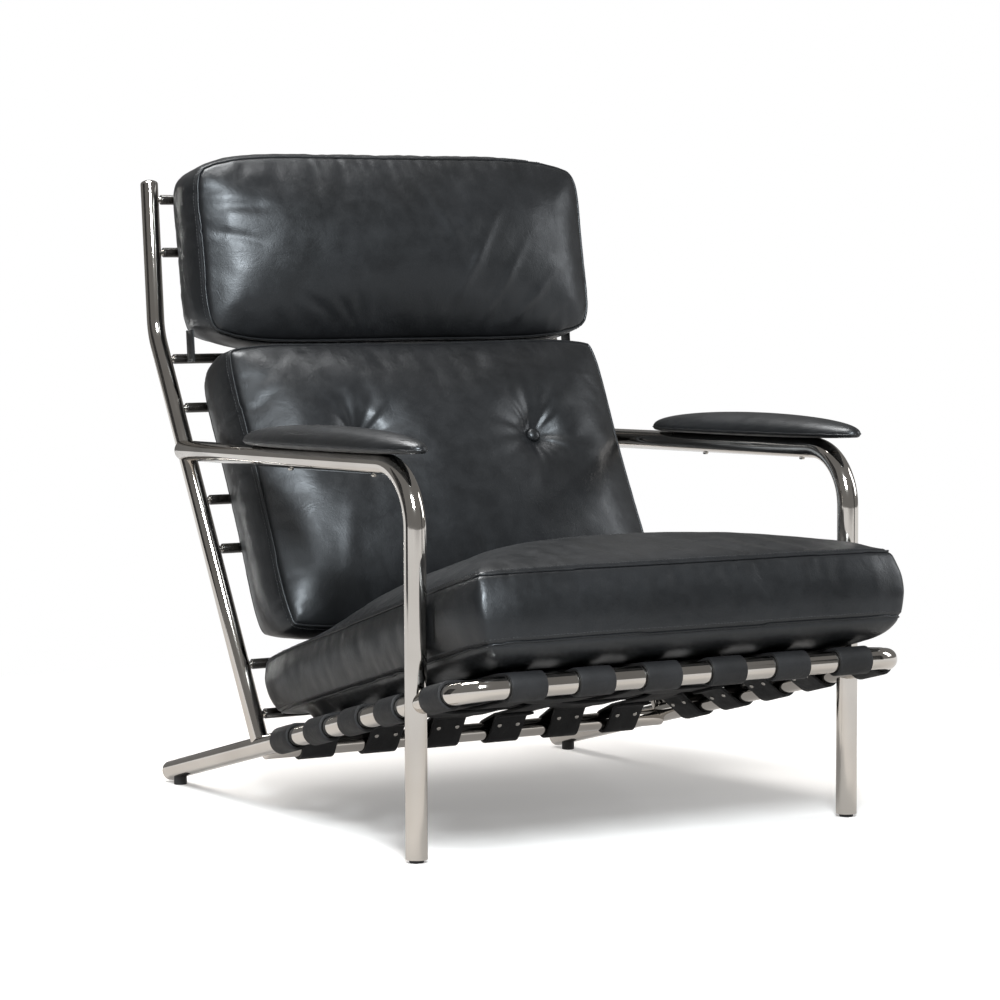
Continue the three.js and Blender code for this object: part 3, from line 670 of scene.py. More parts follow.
def strap_path(rails, crossings):
    ends = []
    for outward_sign, rail, nearest in ((-1, rails[0], crossings[0]), (1, rails[1], crossings[-1])):
        place, height, radius, reach, end = rail
        run_height = WEB_HEIGHT + nearest[1] * WEAVE_LIFT - height
        wrap = wrapped_end(radius, run_height, reach, end)
        ends.append([(place + outward_sign * u, height + v) for u, v in wrap])
    run_points = []
    for before, after in zip(crossings, crossings[1:]):
        start = before[0] + STRAP_WIDTH / 2 + FLAT_MARGIN
        stop = after[0] - STRAP_WIDTH / 2 - FLAT_MARGIN
        for step in range(EASE_STEPS + 1):
            share = step / EASE_STEPS
            blend = (1 - math.cos(math.pi * share)) / 2
            lift = before[1] + (after[1] - before[1]) * blend
            run_points.append((start + (stop - start) * share, WEB_HEIGHT + lift * WEAVE_LIFT))
    return ends[0][::-1] + run_points + ends[1]


# %% Lay a ribbon along its path
RIBBON_CELLS = 4
RIBBON_EDGE = 0.9 * MM


def ribbon(name, path, to_chair):
    let_go()
    bpy.ops.mesh.primitive_grid_add(x_subdivisions=len(path) - 1, y_subdivisions=RIBBON_CELLS, size=1)
    strap = new_piece(name)
    for vertex in strap.data.vertices:
        row = round((vertex.co.x + 0.5) * (len(path) - 1))
        u, v = path[row]
        vertex.co = to_chair @ Vector((u, v, vertex.co.y * STRAP_WIDTH))
    thick = strap.modifiers.new("thickness", "SOLIDIFY")
    thick.thickness = STRAP_THICKNESS
    thick.offset = 0
    thick.use_even_offset = True
    rounded = strap.modifiers.new("edges", "BEVEL")
    rounded.width = RIBBON_EDGE
    rounded.segments = 3
    rounded.limit_method = "ANGLE"
    rounded.angle_limit = math.radians(60)
    finish_modifiers(strap)
    outward(strap)
    soften(strap, 40)
    return strap


# Each end has its rail's place, height and radius, and how far before the rail's middle the strap
# starts to wrap and its tail stops.
FRONT_END = (0.0, 0.0, TUBE, 24 * MM, 38 * MM)
REAR_END = (REAR_RAIL_AT.y, REAR_RAIL_AT.z, SLIM_TUBE, 36 * MM, 62 * MM)
SIDE_ENDS = [(side * HALF_SPAN, 0.0, TUBE, 34 * MM, 54 * MM) for side in (-1, 1)]
lengthwise_to_seat = Matrix(((0, 0, 1, 0), (1, 0, 0, 0), (0, 1, 0, 0), (0, 0, 0, 1)))
across_to_seat = Matrix(((1, 0, 0, 0), (0, 0, 1, 0), (0, 1, 0, 0), (0, 0, 0, 1)))
STRAP_SETS = (
    ("lengthwise", LENGTHWISE_PLACES, Vector((1, 0, 0)), lengthwise_to_seat),
    ("cross", CROSS_STATIONS, Vector((0, 1, 0)), across_to_seat))

strap_paths = {}
for parity in (0, 1):
    signs = [1 if (row + parity) % 2 == 0 else -1 for row in range(6)]
    over_rows = list(zip(CROSS_STATIONS, signs))
    over_columns = [(x, -sign) for x, sign in zip(LENGTHWISE_PLACES, signs)]
    strap_paths["lengthwise", parity] = strap_path([FRONT_END, REAR_END], over_rows)
    strap_paths["cross", parity] = strap_path(SIDE_ENDS, over_columns)
strap_models = {
    key: ribbon("strap_model", path, lengthwise_to_seat if key[0] == "lengthwise" else across_to_seat)
    for key, path in strap_paths.items()}

for kind, places, direction, _ in STRAP_SETS:
    for number, place in enumerate(places):
        strap = copy_of(strap_models[kind, number % 2], "leather_strap_{}_{}".format(kind, number + 1))
        move_into(strap, seat_axes @ Matrix.Translation(direction * place))
        dress(strap, strap_leather, "strap_leather", "web_strap_{}_{}".format(kind, number + 1))
for model in strap_models.values():
    bpy.data.objects.remove(model)

# %% [markdown]
# ## Rivets
# Two bright domed heads hold each strap's tail. One head is a flattened ball, sunk to its middle
# in the leather. All forty-four become one piece, because a rivet is only millimetres wide.

# %% Rivet heads
RIVET_RADIUS = 3.5 * MM
RIVET_HEIGHT = 1.9 * MM
RIVET_SPREAD = 15 * MM
RIVET_SHARE = 0.62  # how far up the slope, from the rail to the strap's own underside


def gather(name, parts):
    let_go()
    for part in parts:
        part.select_set(True)
    bpy.context.view_layer.objects.active = parts[0]
    bpy.ops.object.join()
    parts[0].name = name
    return parts[0]


let_go()
bpy.ops.mesh.primitive_uv_sphere_add(segments=18, ring_count=8, radius=RIVET_RADIUS)
rivet_model = new_piece("rivet_model")
for vertex in rivet_model.data.vertices:
    vertex.co.z *= RIVET_HEIGHT / RIVET_RADIUS
soften(rivet_model, 60)

rivets = []
for kind, places, direction, to_seat in STRAP_SETS:
    for number, place in enumerate(places):
        path = strap_paths[kind, number % 2]
        for upper, lower in ((path[1], path[2]), (path[-2], path[-3])):
            rise = Vector((upper[0] - lower[0], upper[1] - lower[1], 0))
            outside = Vector((rise.y, -rise.x, 0)).normalized()
            outside *= -1 if outside.y > 0 else 1
            turned_out = outside.to_track_quat("Z", "Y").to_matrix().to_4x4()
            for offset in (-RIVET_SPREAD, RIVET_SPREAD):
                middle = Vector((lower[0], lower[1], offset)) + rise * RIVET_SHARE
                spot = middle + outside * STRAP_THICKNESS / 2
                head = copy_of(rivet_model, "rivet")
                move_into(head, seat_axes @ Matrix.Translation(direction * place)
                          @ to_seat @ Matrix.Translation(spot) @ turned_out)
                rivets.append(head)
print(len(rivets), "rivet heads")
bpy.data.objects.remove(rivet_model)
dress(gather("web_rivets", rivets), nickel, "nickel")

# %% Glides
GLIDE_RADIUS = 9.5 * MM
GLIDE_BEVEL = 1 * MM
FRONT_GLIDE_HEIGHT, REAR_GLIDE_HEIGHT = 4.2 * MM, 14 * MM
REAR_GLIDE_INSET = 41 * MM


def glide(name, spot, height):
    let_go()
    bpy.ops.mesh.primitive_cylinder_add(
        vertices=32, radius=GLIDE_RADIUS, depth=height, location=(spot[0], spot[1], height / 2))
    return bevel_rims(new_piece(name), 2, GLIDE_BEVEL)


for side_name, side in (("left", -1), ("right", 1)):
    spot = (side * (HALF_SPAN + ARM_OUTSET), LEG_Y)
    front = glide("disc_front_glide_" + side_name, spot, FRONT_GLIDE_HEIGHT)
    dress(front, black_plastic, "black_plastic", "front_glide_" + side_name)
    spot = in_seat(side * HALF_SPAN, RAIL_LENGTH - REAR_GLIDE_INSET)
    rear = glide("disc_rear_glide_" + side_name, spot, REAR_GLIDE_HEIGHT)
    dress(rear, black_plastic, "black_plastic", "rear_glide_" + side_name)

# %% [markdown]
# ## Cushions
# A cushion is two panels sewn to a border and filled until it crowns. Each starts from the
# measured cushion. Its main swell is set as a shape, by the distance from the seams. A cloth
# simulation then settles it: the seams are held, the leather is a little too large, and pressure
# pushes it out between them. Grooves, puckers and the folds round the sewn tufts come after it,
# because they are finer than the cloth's mesh.


# %% The sewn form of a cushion, in its own axes
class Cushion:
    """Sizes are given in millimetres: the sewn form first, then how the filled cushion differs."""

    def __init__(self, name, half_width, half_length, border, draw_in, corner_round, place, aside,
                 rake=0.0, taper=0.0, droop=0.0, flare=0.0, corner_pull=0.0, thicker=0.0, wider=0.0,
                 swell=0.0, shoulder=40.0, tufts=()):
        self.name, self.half_width, self.half_length = name, half_width * MM, half_length * MM
        self.border, self.draw_in, self.corner_round = border * MM, draw_in * MM, corner_round * MM
        self.place, self.rake, self.taper, self.tufts = place, rake, taper, tufts
        self.droop, self.flare, self.corner_pull = droop, flare * MM, corner_pull * MM
        self.thicker, self.wider = thicker * MM, wider * MM
        self.swell, self.shoulder = swell * MM, shoulder * MM
        self.lie = Matrix.Translation((aside * MM, 0, 0)) @ place

    def relax(self, point):
        """How the filled cushion hangs: its lower front sinks, its face comes forward and spreads."""
        u, v = point.x / self.half_width, point.y / self.half_length
        w = min(max(point.z / self.border + 0.5, 0), 1)
        lower = min(max((1 - v) / 2, 0), 1)
        sink = self.droop * (point.z + self.border / 2) * lower ** 2.2
        spread = self.flare * min(abs(u), 1) ** 2 * min(abs(v), 1) ** 4
        pull = self.corner_pull * min(abs(u * v), 1) ** 5
        x = point.x + (spread - pull if u > 0 else pull - spread) + self.wider * u
        y = point.y - max(sink, 0) - math.copysign(pull, v)
        return Vector((x, y, point.z + self.thicker * w))

    def seam_point(self, u, v, panel):
        corner = self.corner_round * abs(u * v) ** 8
        x = u * (self.half_width - self.draw_in * (1 - v * v) - corner)
        y = v * (self.half_length - self.draw_in * (1 - u * u) - corner)
        z = panel * self.border / 2 * (1 - self.taper * (v + 1) / 2)
        return self.relax(Vector((x, y + self.rake * z * (v + 1) / 2, z)))

    def seam(self, panel, per_side):
        steps = [2 * k / per_side - 1 for k in range(per_side)]
        sides = ([(t, -1) for t in steps], [(1, t) for t in steps],
                 [(-t, 1) for t in steps], [(-1, -t) for t in steps])
        return [self.seam_point(u, v, panel) for side in sides for u, v in side]


BACK_LEAN = math.radians(-3)
HEAD_LEAN = math.radians(5.5)
SEAT_SETTLE = math.radians(1.4)


def standing(owner, forward, height, turned):
    place = Matrix.Translation((0, -forward * MM, height * MM))
    return owner @ place @ Matrix.Rotation(turned, 4, "X")


seat_cushion = Cushion(
    "seat_cushion", half_width=312, half_length=319.5, border=90, draw_in=6, corner_round=9,
    place=standing(seat_axes, -284.5, 88.57, -SEAT_SETTLE),
    aside=11.0, rake=math.tan(LEAN - FALL), taper=0.09, wider=16,
    corner_pull=5, swell=22, shoulder=42)
back_cushion = Cushion(
    "back_cushion", half_width=312, half_length=214, border=85, draw_in=9, corner_round=4,
    place=standing(back_axes, 66.35, 358, math.pi / 2 - BACK_LEAN),
    aside=8.5, droop=0.30, flare=3, corner_pull=12, thicker=13, swell=17,
    shoulder=34, tufts=((-145 * MM, 40 * MM), (145 * MM, 40 * MM)))
head_cushion = Cushion(
    "head_cushion", half_width=320, half_length=139, border=72, draw_in=5, corner_round=6,
    place=standing(head_axes, 59.47, 111, math.pi / 2 - HEAD_LEAN),
    aside=19, droop=0.08, corner_pull=20, thicker=13, wider=5, swell=18, shoulder=34)

# %% Fill a cushion
VOXEL = 6.5 * MM
FRAMES = 20
GROWTH = 0.006  # how much too large the leather is
SEAT_BELLY, BELLY_SHOULDER = 26 * MM, 16 * MM
FLAT_FROM, FLAT_OVER = 0.62, 0.45  # where the seat stops rising, as shares of its half length
BORDER_BULGE, BORDER_SHOULDER = 2.5 * MM, 20 * MM
TUFT_REACH, TUFT_HOLD = 34 * MM, 24 * MM
SEAM_HOLD, REAR_HOLD, LEAST_HOLD = 9 * MM, 0.85, 0.02
LEG_CLEAR, LEG_EASE, PAST_LEG = 24 * MM, 45 * MM, 30 * MM


def polyline_distance(points, line):
    """Distance and arc length of each point's nearest place on a closed line."""
    starts = np.array([tuple(p) for p in line])
    ends = np.roll(starts, -1, axis=0)
    lengths = np.linalg.norm(ends - starts, axis=1)
    before = np.concatenate(([0.0], np.cumsum(lengths)[:-1]))
    best = np.full(len(points), 1e9)
    run_at = np.zeros(len(points))
    for start, end, length, offset in zip(starts, ends, lengths, before):
        step = end - start
        share = np.clip(((points - start) @ step) / max(length * length, 1e-12), 0, 1)
        gap = np.linalg.norm(points - (start + share[:, None] * step), axis=1)
        nearer = gap < best
        best[nearer] = gap[nearer]
        run_at[nearer] = offset + share[nearer] * length
    return best, run_at


def read_points(mesh):
    flat = np.empty(len(mesh.vertices) * 3)
    mesh.vertices.foreach_get("co", flat)
    return flat.reshape(-1, 3)


def write_points(mesh, points):
    mesh.vertices.foreach_set("co", points.reshape(-1))
    mesh.update()


def seam_distances(cushion, points):
    return [polyline_distance(points, cushion.seam(panel, 24)) for panel in (1, -1)]


def rest_on_web(cushion, shell):
    """Flatten the cushion where it lies on the straps, and dent it where it meets the legs."""
    to_web = seat_axes.inverted() @ cushion.lie
    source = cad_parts[cushion.name]
    web_top = min((seat_axes.inverted() @ source.matrix_world @ v.co).z for v in source.data.vertices)
    back_again = to_web.inverted()
    for vertex in shell.data.vertices:
        spot = to_web @ vertex.co
        spot.z = max(spot.z, web_top)
        vertex.co = back_again @ spot
        world_spot = cushion.lie @ vertex.co
        clear = min(max((abs(world_spot.y - LEG_Y) - LEG_CLEAR) / LEG_EASE, 0), 1)
        limit = HALF_SPAN + ARM_OUTSET - TUBE - FIT + PAST_LEG * clear
        if abs(world_spot.x) > limit:
            vertex.co.x += math.copysign(limit, world_spot.x) - world_spot.x


def set_swell(cushion, measured):
    """The filled form of the measured points, and their distances from both seams."""
    start = np.array([cushion.relax(Vector(point)) for point in measured])
    (front_gap, _), (rear_gap, _) = seam_distances(cushion, start)
    nearest_gap = np.minimum(front_gap, rear_gap)
    on_front = measured[:, 2] > cushion.border / 2 - 1 * MM
    on_rear = measured[:, 2] < -cushion.border / 2 + 1 * MM
    away = np.ones(len(start))
    if cushion is seat_cushion:
        # The back cushion rests on the rear of the seat, so the seat does not rise there.
        away = np.clip((FLAT_FROM - start[:, 1] / cushion.half_length) / FLAT_OVER, 0, 1)
        belly = -cushion.border / 2 - SEAT_BELLY * (1 - np.exp(-rear_gap / BELLY_SHOULDER))
        start[:, 2] = np.where(on_rear, np.minimum(start[:, 2], belly), start[:, 2])
    for x, y in cushion.tufts:
        away *= 1 - np.exp(-(np.hypot(start[:, 0] - x, start[:, 1] - y) / TUFT_REACH) ** 2)
    crown = cushion.swell * away * (1 - np.exp(-front_gap / cushion.shoulder))
    start[:, 2] += np.where(on_front, crown, 0)
    bulge = BORDER_BULGE * (1 - np.exp(-nearest_gap / BORDER_SHOULDER))
    outwards = start[:, :2] / np.array((cushion.half_width, cushion.half_length))
    outwards = np.sign(outwards) * np.abs(outwards) ** 8
    start[:, :2] += np.where(on_front | on_rear, 0, bulge)[:, None] * outwards
    return start, nearest_gap


def hold_weights(cushion, start, nearest_gap):
    hold = np.exp(-(nearest_gap / SEAM_HOLD) ** 2)
    for x, y in cushion.tufts:
        reach = np.hypot(start[:, 0] - x, start[:, 1] - y)
        hold = np.maximum(hold, np.where(start[:, 2] > 0, np.exp(-(reach / TUFT_HOLD) ** 2), 0))
    # The rear or lower panel lies on its support and keeps its shape.
    return np.maximum(hold, np.where(start[:, 2] < -cushion.border / 2 - 1 * MM, REAR_HOLD, 0))


def blow_up(cushion, shell, start, nearest_gap, pressure, cap):
    held = shell.vertex_groups.new(name="held")
    for index, weight in enumerate(hold_weights(cushion, start, nearest_gap)):
        if weight > LEAST_HOLD:
            held.add([index], float(weight), "REPLACE")
    cloth = shell.modifiers.new("fill", "CLOTH")
    settings = cloth.settings
    for label, value in dict(
            quality=5, mass=0.5, tension_stiffness=22, compression_stiffness=12, shear_stiffness=8,
            bending_stiffness=1.6, use_pressure=True, uniform_pressure_force=pressure,
            vertex_group_mass="held", pin_stiffness=2.5, shrink_min=-GROWTH).items():
        setattr(settings, label, value)
    settings.effector_weights.gravity = 0
    cloth.point_cache.frame_start, cloth.point_cache.frame_end = 1, FRAMES
    for step in range(1, FRAMES + 1):
        bpy.context.scene.frame_set(step)
    finish_modifiers(shell)
    bpy.context.scene.frame_set(1)
    moved = read_points(shell.data) - start
    size = np.linalg.norm(moved, axis=1)
    limit = np.minimum(1, cap / np.maximum(size, 1e-9))
    write_points(shell.data, start + moved * limit[:, None])
    print(cushion.name, "swelled by up to", round(float(size.max()) / MM, 1), "mm")


def smooth(piece, name, iterations):
    soft = piece.modifiers.new(name, "SMOOTH")
    soft.factor = 0.5
    soft.iterations = iterations


def fill_cushion(cushion, pressure, cap):
    shell = measured_copy(cushion.name, "leather_" + cushion.name)
    shell.data.transform(cushion.place.inverted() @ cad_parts[cushion.name].matrix_world)
    outward(shell)
    pick(shell)
    shell.data.remesh_voxel_size = VOXEL
    bpy.ops.object.voxel_remesh()
    smooth(shell, "settle", 2)
    finish_modifiers(shell)
    start, nearest_gap = set_swell(cushion, read_points(shell.data))
    write_points(shell.data, start)
    blow_up(cushion, shell, start, nearest_gap, pressure, cap)
    smooth(shell, "even", 7)
    finer = shell.modifiers.new("finer", "SUBSURF")
    finer.levels = finer.render_levels = 1
    finish_modifiers(shell)
    if cushion is seat_cushion:
        rest_on_web(cushion, shell)
    return shell


# %% [markdown]
# ### Seams, puckers and folds
# A seam pulls the leather in, so a narrow groove runs along it, and thread gathers the leather
# into short ripples beside it. Round a tuft the folds run outwards like the spokes of a wheel.
# All of them are pushed into the mesh along its normals, from waves and smooth repeatable noise.

# %% Push the fine shape into a cushion
GROOVE_DEPTH, GROOVE_WIDTH = 2.6 * MM, 3.4 * MM
PUCKER_LENGTH, PUCKER_START = 26 * MM, 6 * MM
BORDER_PUCKER_REACH, PANEL_PUCKER_REACH = 30 * MM, 24 * MM
FOLD_DEPTH, FOLD_REACH = 1.5 * MM, 78 * MM
BUTTON_REACH, FOLD_START = 9 * MM, 14 * MM
# Each set of folds round a tuft: how many, how strong, and where it starts
FOLDS = ((7, 0.45, 0.4), (11, 0.4, 2.0), (16, 0.3, 4.4), (4, 0.35, 1.0))
CREASE_BEND = 6 * MM
UNEVEN, UNEVEN_START = 0.9 * MM, 20 * MM


def ripple(run_at, length, seed):
    value = np.zeros(len(run_at))
    for share, weight, offset in ((1.0, 0.5, 0.0), (0.62, 0.32, 1.7), (1.63, 0.28, 4.1)):
        value += weight * np.cos(2 * math.pi * run_at / (length * share) + offset + seed)
    return value


def shape_cushion(cushion, shell, pucker, creases):
    mesh = shell.data
    points = read_points(mesh)
    normals = np.empty(len(points) * 3)
    mesh.vertices.foreach_get("normal", normals)
    normals = normals.reshape(-1, 3)
    push = np.zeros(len(points))
    height = points[:, 2]
    face = cushion.border / 2 + cushion.thicker
    on_border = (height > -cushion.border / 2 + 2 * MM) & (height < face - 2 * MM)
    seams = seam_distances(cushion, points)
    for seed, (gap, run_at) in enumerate(seams):
        push -= GROOVE_DEPTH * np.exp(-(gap / GROOVE_WIDTH) ** 2)
        reach = np.where(on_border, BORDER_PUCKER_REACH, PANEL_PUCKER_REACH)
        strength = np.where(on_border, pucker * 1.25, pucker)
        fade = np.clip(gap / PUCKER_START, 0, 1) * np.exp(-gap / reach)
        patches = np.array([
            0.5 + 1.1 * noise.noise(Vector((x * 9 + seed * 7, y * 9, z * 9))) for x, y, z in points])
        push += strength * fade * np.clip(patches, 0, 1.2) * ripple(run_at, PUCKER_LENGTH, seed * 2.3)
    for seed, (x, y) in enumerate(cushion.tufts):
        dx, dy = points[:, 0] - x, points[:, 1] - y
        gap = np.hypot(dx, dy)
        angle = np.arctan2(dy, dx)
        spokes = np.zeros(len(points))
        for count, weight, offset in FOLDS:
            spokes += weight * np.cos(count * angle + offset + seed * 1.9 + 9 * gap)
        fade = np.clip((gap - BUTTON_REACH) / FOLD_START, 0, 1) * np.exp(-(gap / FOLD_REACH) ** 1.6)
        push += np.where(height > face - 8 * MM, FOLD_DEPTH * fade * spokes, 0)
    for centre, direction, length, width, depth in creases:
        ahead_of = np.array(direction) / np.linalg.norm(direction)
        offset = points[:, :2] - np.array(centre)
        run_at = offset @ ahead_of
        aside = offset @ np.array((-ahead_of[1], ahead_of[0]))
        bend = CREASE_BEND * np.sin(run_at / (length * 0.8))
        shape = np.exp(-((aside - bend) / width) ** 2) * np.exp(-(run_at / length) ** 2)
        push += np.where(height > face - 4 * MM, depth * shape, 0)
    broad = np.array([noise.fractal(Vector(p * 11), 0.8, 2.0, 3) for p in points])
    nearest = np.minimum(*[gap for gap, _ in seams])
    push += UNEVEN * broad * np.clip(nearest / UNEVEN_START, 0, 1)
    write_points(mesh, points + normals * push[:, None])


# %% Stuff and shape the three cushions
# Pressure, the most that it may move the leather, pucker height, and the creases: each crease
# has a middle, a direction, a length, a width and a height, which is below zero for a hollow.
cushion_builds = (
    (seat_cushion, 3.0, 10 * MM, 0.45 * MM, ()),
    (back_cushion, 3.5, 12 * MM, 0.8 * MM, (
        ((-0.20, -0.10), (0.35, 1.0), 70 * MM, 13 * MM, 1.6 * MM),
        ((-0.235, 0.06), (0.2, 1.0), 60 * MM, 16 * MM, 1.4 * MM))),
    (head_cushion, 3.5, 12 * MM, 0.8 * MM, (
        ((0.10, -0.035), (0.75, 1.0), 75 * MM, 9 * MM, 2.3 * MM),
        ((0.155, -0.06), (0.8, 1.0), 60 * MM, 8 * MM, 2.2 * MM),
        ((0.205, -0.085), (1.0, 0.75), 55 * MM, 8 * MM, 2.2 * MM),
        ((0.05, 0.05), (-0.35, 1.0), 60 * MM, 10 * MM, 1.6 * MM),
        ((-0.16, -0.09), (-0.8, 0.7), 45 * MM, 9 * MM, -1.6 * MM),
        ((-0.11, -0.10), (-0.6, 1.0), 40 * MM, 8 * MM, -1.5 * MM),
        ((-0.265, 0.055), (1.0, -0.25), 40 * MM, 9 * MM, -2.0 * MM),
        ((-0.27, 0.01), (1.0, -0.5), 38 * MM, 8 * MM, -1.8 * MM))),
)
shells = {}
for cushion, pressure, cap, pucker, creases in cushion_builds:
    shell = fill_cushion(cushion, pressure, cap)
    shape_cushion(cushion, shell, pucker, creases)
    soften(shell, 180)
    shells[cushion.name] = shell

# %% [markdown]
# ### Piping and topstitching
# The head and back cushions have a thin corded edge. The seat's seam is lapped, so its edge is
# thinner. All three have stitches beside the seam. Cord and stitches follow the same line as the
# groove, and each stitch is set down on the leather's surface at its place.

# %% Cords and stitches
CORD_RADIUS = 1.9 * MM
LAP_RADIUS = 1.3 * MM
STITCH_LENGTH = 3.4 * MM
STITCH_PITCH = 4.8 * MM
STITCH_RADIUS = 0.55 * MM
SEAM_LIFT = 6 * MM  # how far off the seam a stitch looks for the leather


def smooth_loop(points, rounds):
    line = np.array([tuple(p) for p in points])
    for _ in range(rounds):
        line = 0.5 * line + 0.25 * (np.roll(line, 1, axis=0) + np.roll(line, -1, axis=0))
    return line


def surface_of(shell):
    mesh = shell.data
    return BVHTree.FromPolygons([v.co for v in mesh.vertices], [p.vertices for p in mesh.polygons])


def cord_on(cushion, surface, panel, name, radius):
    line = smooth_loop(cushion.seam(panel, 60), 2)
    let_go()
    bpy.ops.mesh.primitive_circle_add(vertices=len(line), radius=1, fill_type="NOTHING")
    cord = new_piece(name)
    for vertex, point in zip(cord.data.vertices, line):
        near, normal, _, _ = surface.find_nearest(Vector(point))
        vertex.co = near + normal * radius * 0.55
    return piped(cord, radius, 3)


def stitch_model():
    let_go()
    bpy.ops.mesh.primitive_uv_sphere_add(segments=6, ring_count=4, radius=1)
    model = new_piece("stitch_model")
    points = read_points(model.data) * np.array((STITCH_RADIUS, STITCH_RADIUS, STITCH_LENGTH / 2))
    faces = [tuple(face.vertices) for face in model.data.polygons]
    bpy.data.objects.remove(model)
    return points, faces


stitch_points, stitch_faces = stitch_model()


def stitch_row(cushion, surface, panel, aside):
    """Stitches beside a seam: aside is over the panel if positive, over the border if negative."""
    line = smooth_loop(cushion.seam(panel, 60), 2)
    lengths = np.linalg.norm(np.roll(line, -1, axis=0) - line, axis=1)
    ends = np.concatenate(([0.0], np.cumsum(lengths)))
    closed = np.vstack((line, line[:1]))
    count = int(ends[-1] / STITCH_PITCH)
    places = []

    def point_at(run):
        return Vector([float(np.interp(run, ends, closed[:, axis])) for axis in range(3)])

    for number in range(count):
        at = (number + 0.5) * ends[-1] / count
        spot, beyond = point_at(at), point_at((at + 2 * MM) % ends[-1])
        direction = (beyond - spot).normalized()
        inward = Vector((-direction.y, direction.x, 0)).normalized()
        if aside > 0:
            guess = spot + inward * aside + Vector((0, 0, panel * SEAM_LIFT))
        else:
            guess = spot - inward * SEAM_LIFT + Vector((0, 0, panel * aside))
        near, normal, _, _ = surface.find_nearest(guess)
        direction = (direction - normal * direction.dot(normal)).normalized()
        turn_to = Matrix((normal.cross(direction), normal, direction)).transposed()
        places.append((turn_to, near + normal * STITCH_RADIUS * 0.15))
    return places


def sew(name, places):
    vertices, faces = [], []
    for turn_to, spot in places:
        base = len(vertices)
        vertices += [tuple(turn_to @ Vector(p) + spot) for p in stitch_points]
        faces += [tuple(base + index for index in face) for face in stitch_faces]
    mesh = bpy.data.meshes.new(name)
    mesh.from_pydata(vertices, [], faces)
    stitches = bpy.data.objects.new(name, mesh)
    bpy.context.collection.objects.link(stitches)
    outward(stitches)
    soften(stitches, 60)
    print(name, len(places), "stitches")
    return stitches


# For each cushion: the seams that show stitches, with their distance, and the edge's radius
sewing = {
    "seat_cushion": (((1, 4.5 * MM), (-1, -5 * MM)), LAP_RADIUS),
    "back_cushion": (((1, -5 * MM),), CORD_RADIUS),
    "head_cushion": (((1, -5 * MM),), CORD_RADIUS),
}
for cushion, *_ in cushion_builds:
    shell = shells[cushion.name]
    surface = surface_of(shell)
    rows, radius = sewing[cushion.name]
    places = []
    for panel, aside in rows:
        places += stitch_row(cushion, surface, panel, aside)
    stitches = sew("stitches_" + cushion.name, places)
    cords = [cord_on(cushion, surface, panel, "cord_{}_{}".format(cushion.name, end), radius)
             for panel, end in ((1, "front"), (-1, "rear"))]
    for piece in [shell, stitches] + cords:
        move_into(piece, cushion.lie)
    dress(shell, cushion_leather, "cushion_leather", cushion.name)
    dress(stitches, thread, "cushion_leather")
    for cord in cords:
        dress(cord, cushion_leather, "cushion_leather")

# %% [markdown]
# ## Tuft buttons and link strips
# Two leather-covered buttons are pulled into the back cushion. Between head and back cushion, a
# flat strip of leather on each side ties them together.

# %% Buttons and links
BUTTON_RADIUS = 10.6 * MM
BUTTON_RISE, BUTTON_DEPTH = 0.62, 0.42  # above and below its rim, as shares of the radius
TUFT_LIFT = 2.5 * MM
LINK_ASIDE, LINK_FORWARD, LINK_UP = 9 * MM, 6 * MM, 2 * MM
tufted = surface_of(shells["back_cushion"])
for side_name, side in (("left", -1), ("right", 1)):
    let_go()
    bpy.ops.mesh.primitive_uv_sphere_add(segments=40, ring_count=20, radius=BUTTON_RADIUS)
    button = new_piece("covered_button_" + side_name)
    for vertex in button.data.vertices:
        vertex.co.z *= BUTTON_RISE if vertex.co.z > 0 else BUTTON_DEPTH
    soften(button, 180)
    x, y = back_cushion.tufts[0 if side < 0 else 1]
    above = back_cushion.lie @ Vector((x, y, 200 * MM))
    hit, _, _, _ = tufted.ray_cast(above, back_cushion.lie.to_3x3() @ Vector((0, 0, -1)))
    height = (back_cushion.lie.inverted() @ hit).z
    print("button", side_name, "sits at", round(height / MM, 1), "mm")
    move_into(button, back_cushion.lie @ Matrix.Translation((x, y, height + TUFT_LIFT)))
    dress(button, pad_leather, "cushion_leather", "tuft_button_" + side_name)

    link = measured_copy("cushion_link_" + side_name, "link_strip_" + side_name)
    outward(link)
    link.data.transform(Matrix.Translation(
        (LINK_ASIDE - side * LINK_ASIDE, -LINK_FORWARD, LINK_UP)))
    edges = link.modifiers.new("edges", "BEVEL")
    edges.width = 0.6 * MM
    edges.segments = 2
    finish_modifiers(link)
    soften(link, 40)
    dress(link, pad_leather, "cushion_leather", "cushion_link_" + side_name)

# %% [markdown]
# ## Arm pads
# A slim leather pad lies on each arm, wide in the middle and tapering to both ends. It is
# stuffed over a steel strip. The measured pad is smoothed, and a fine welt goes round its edge.

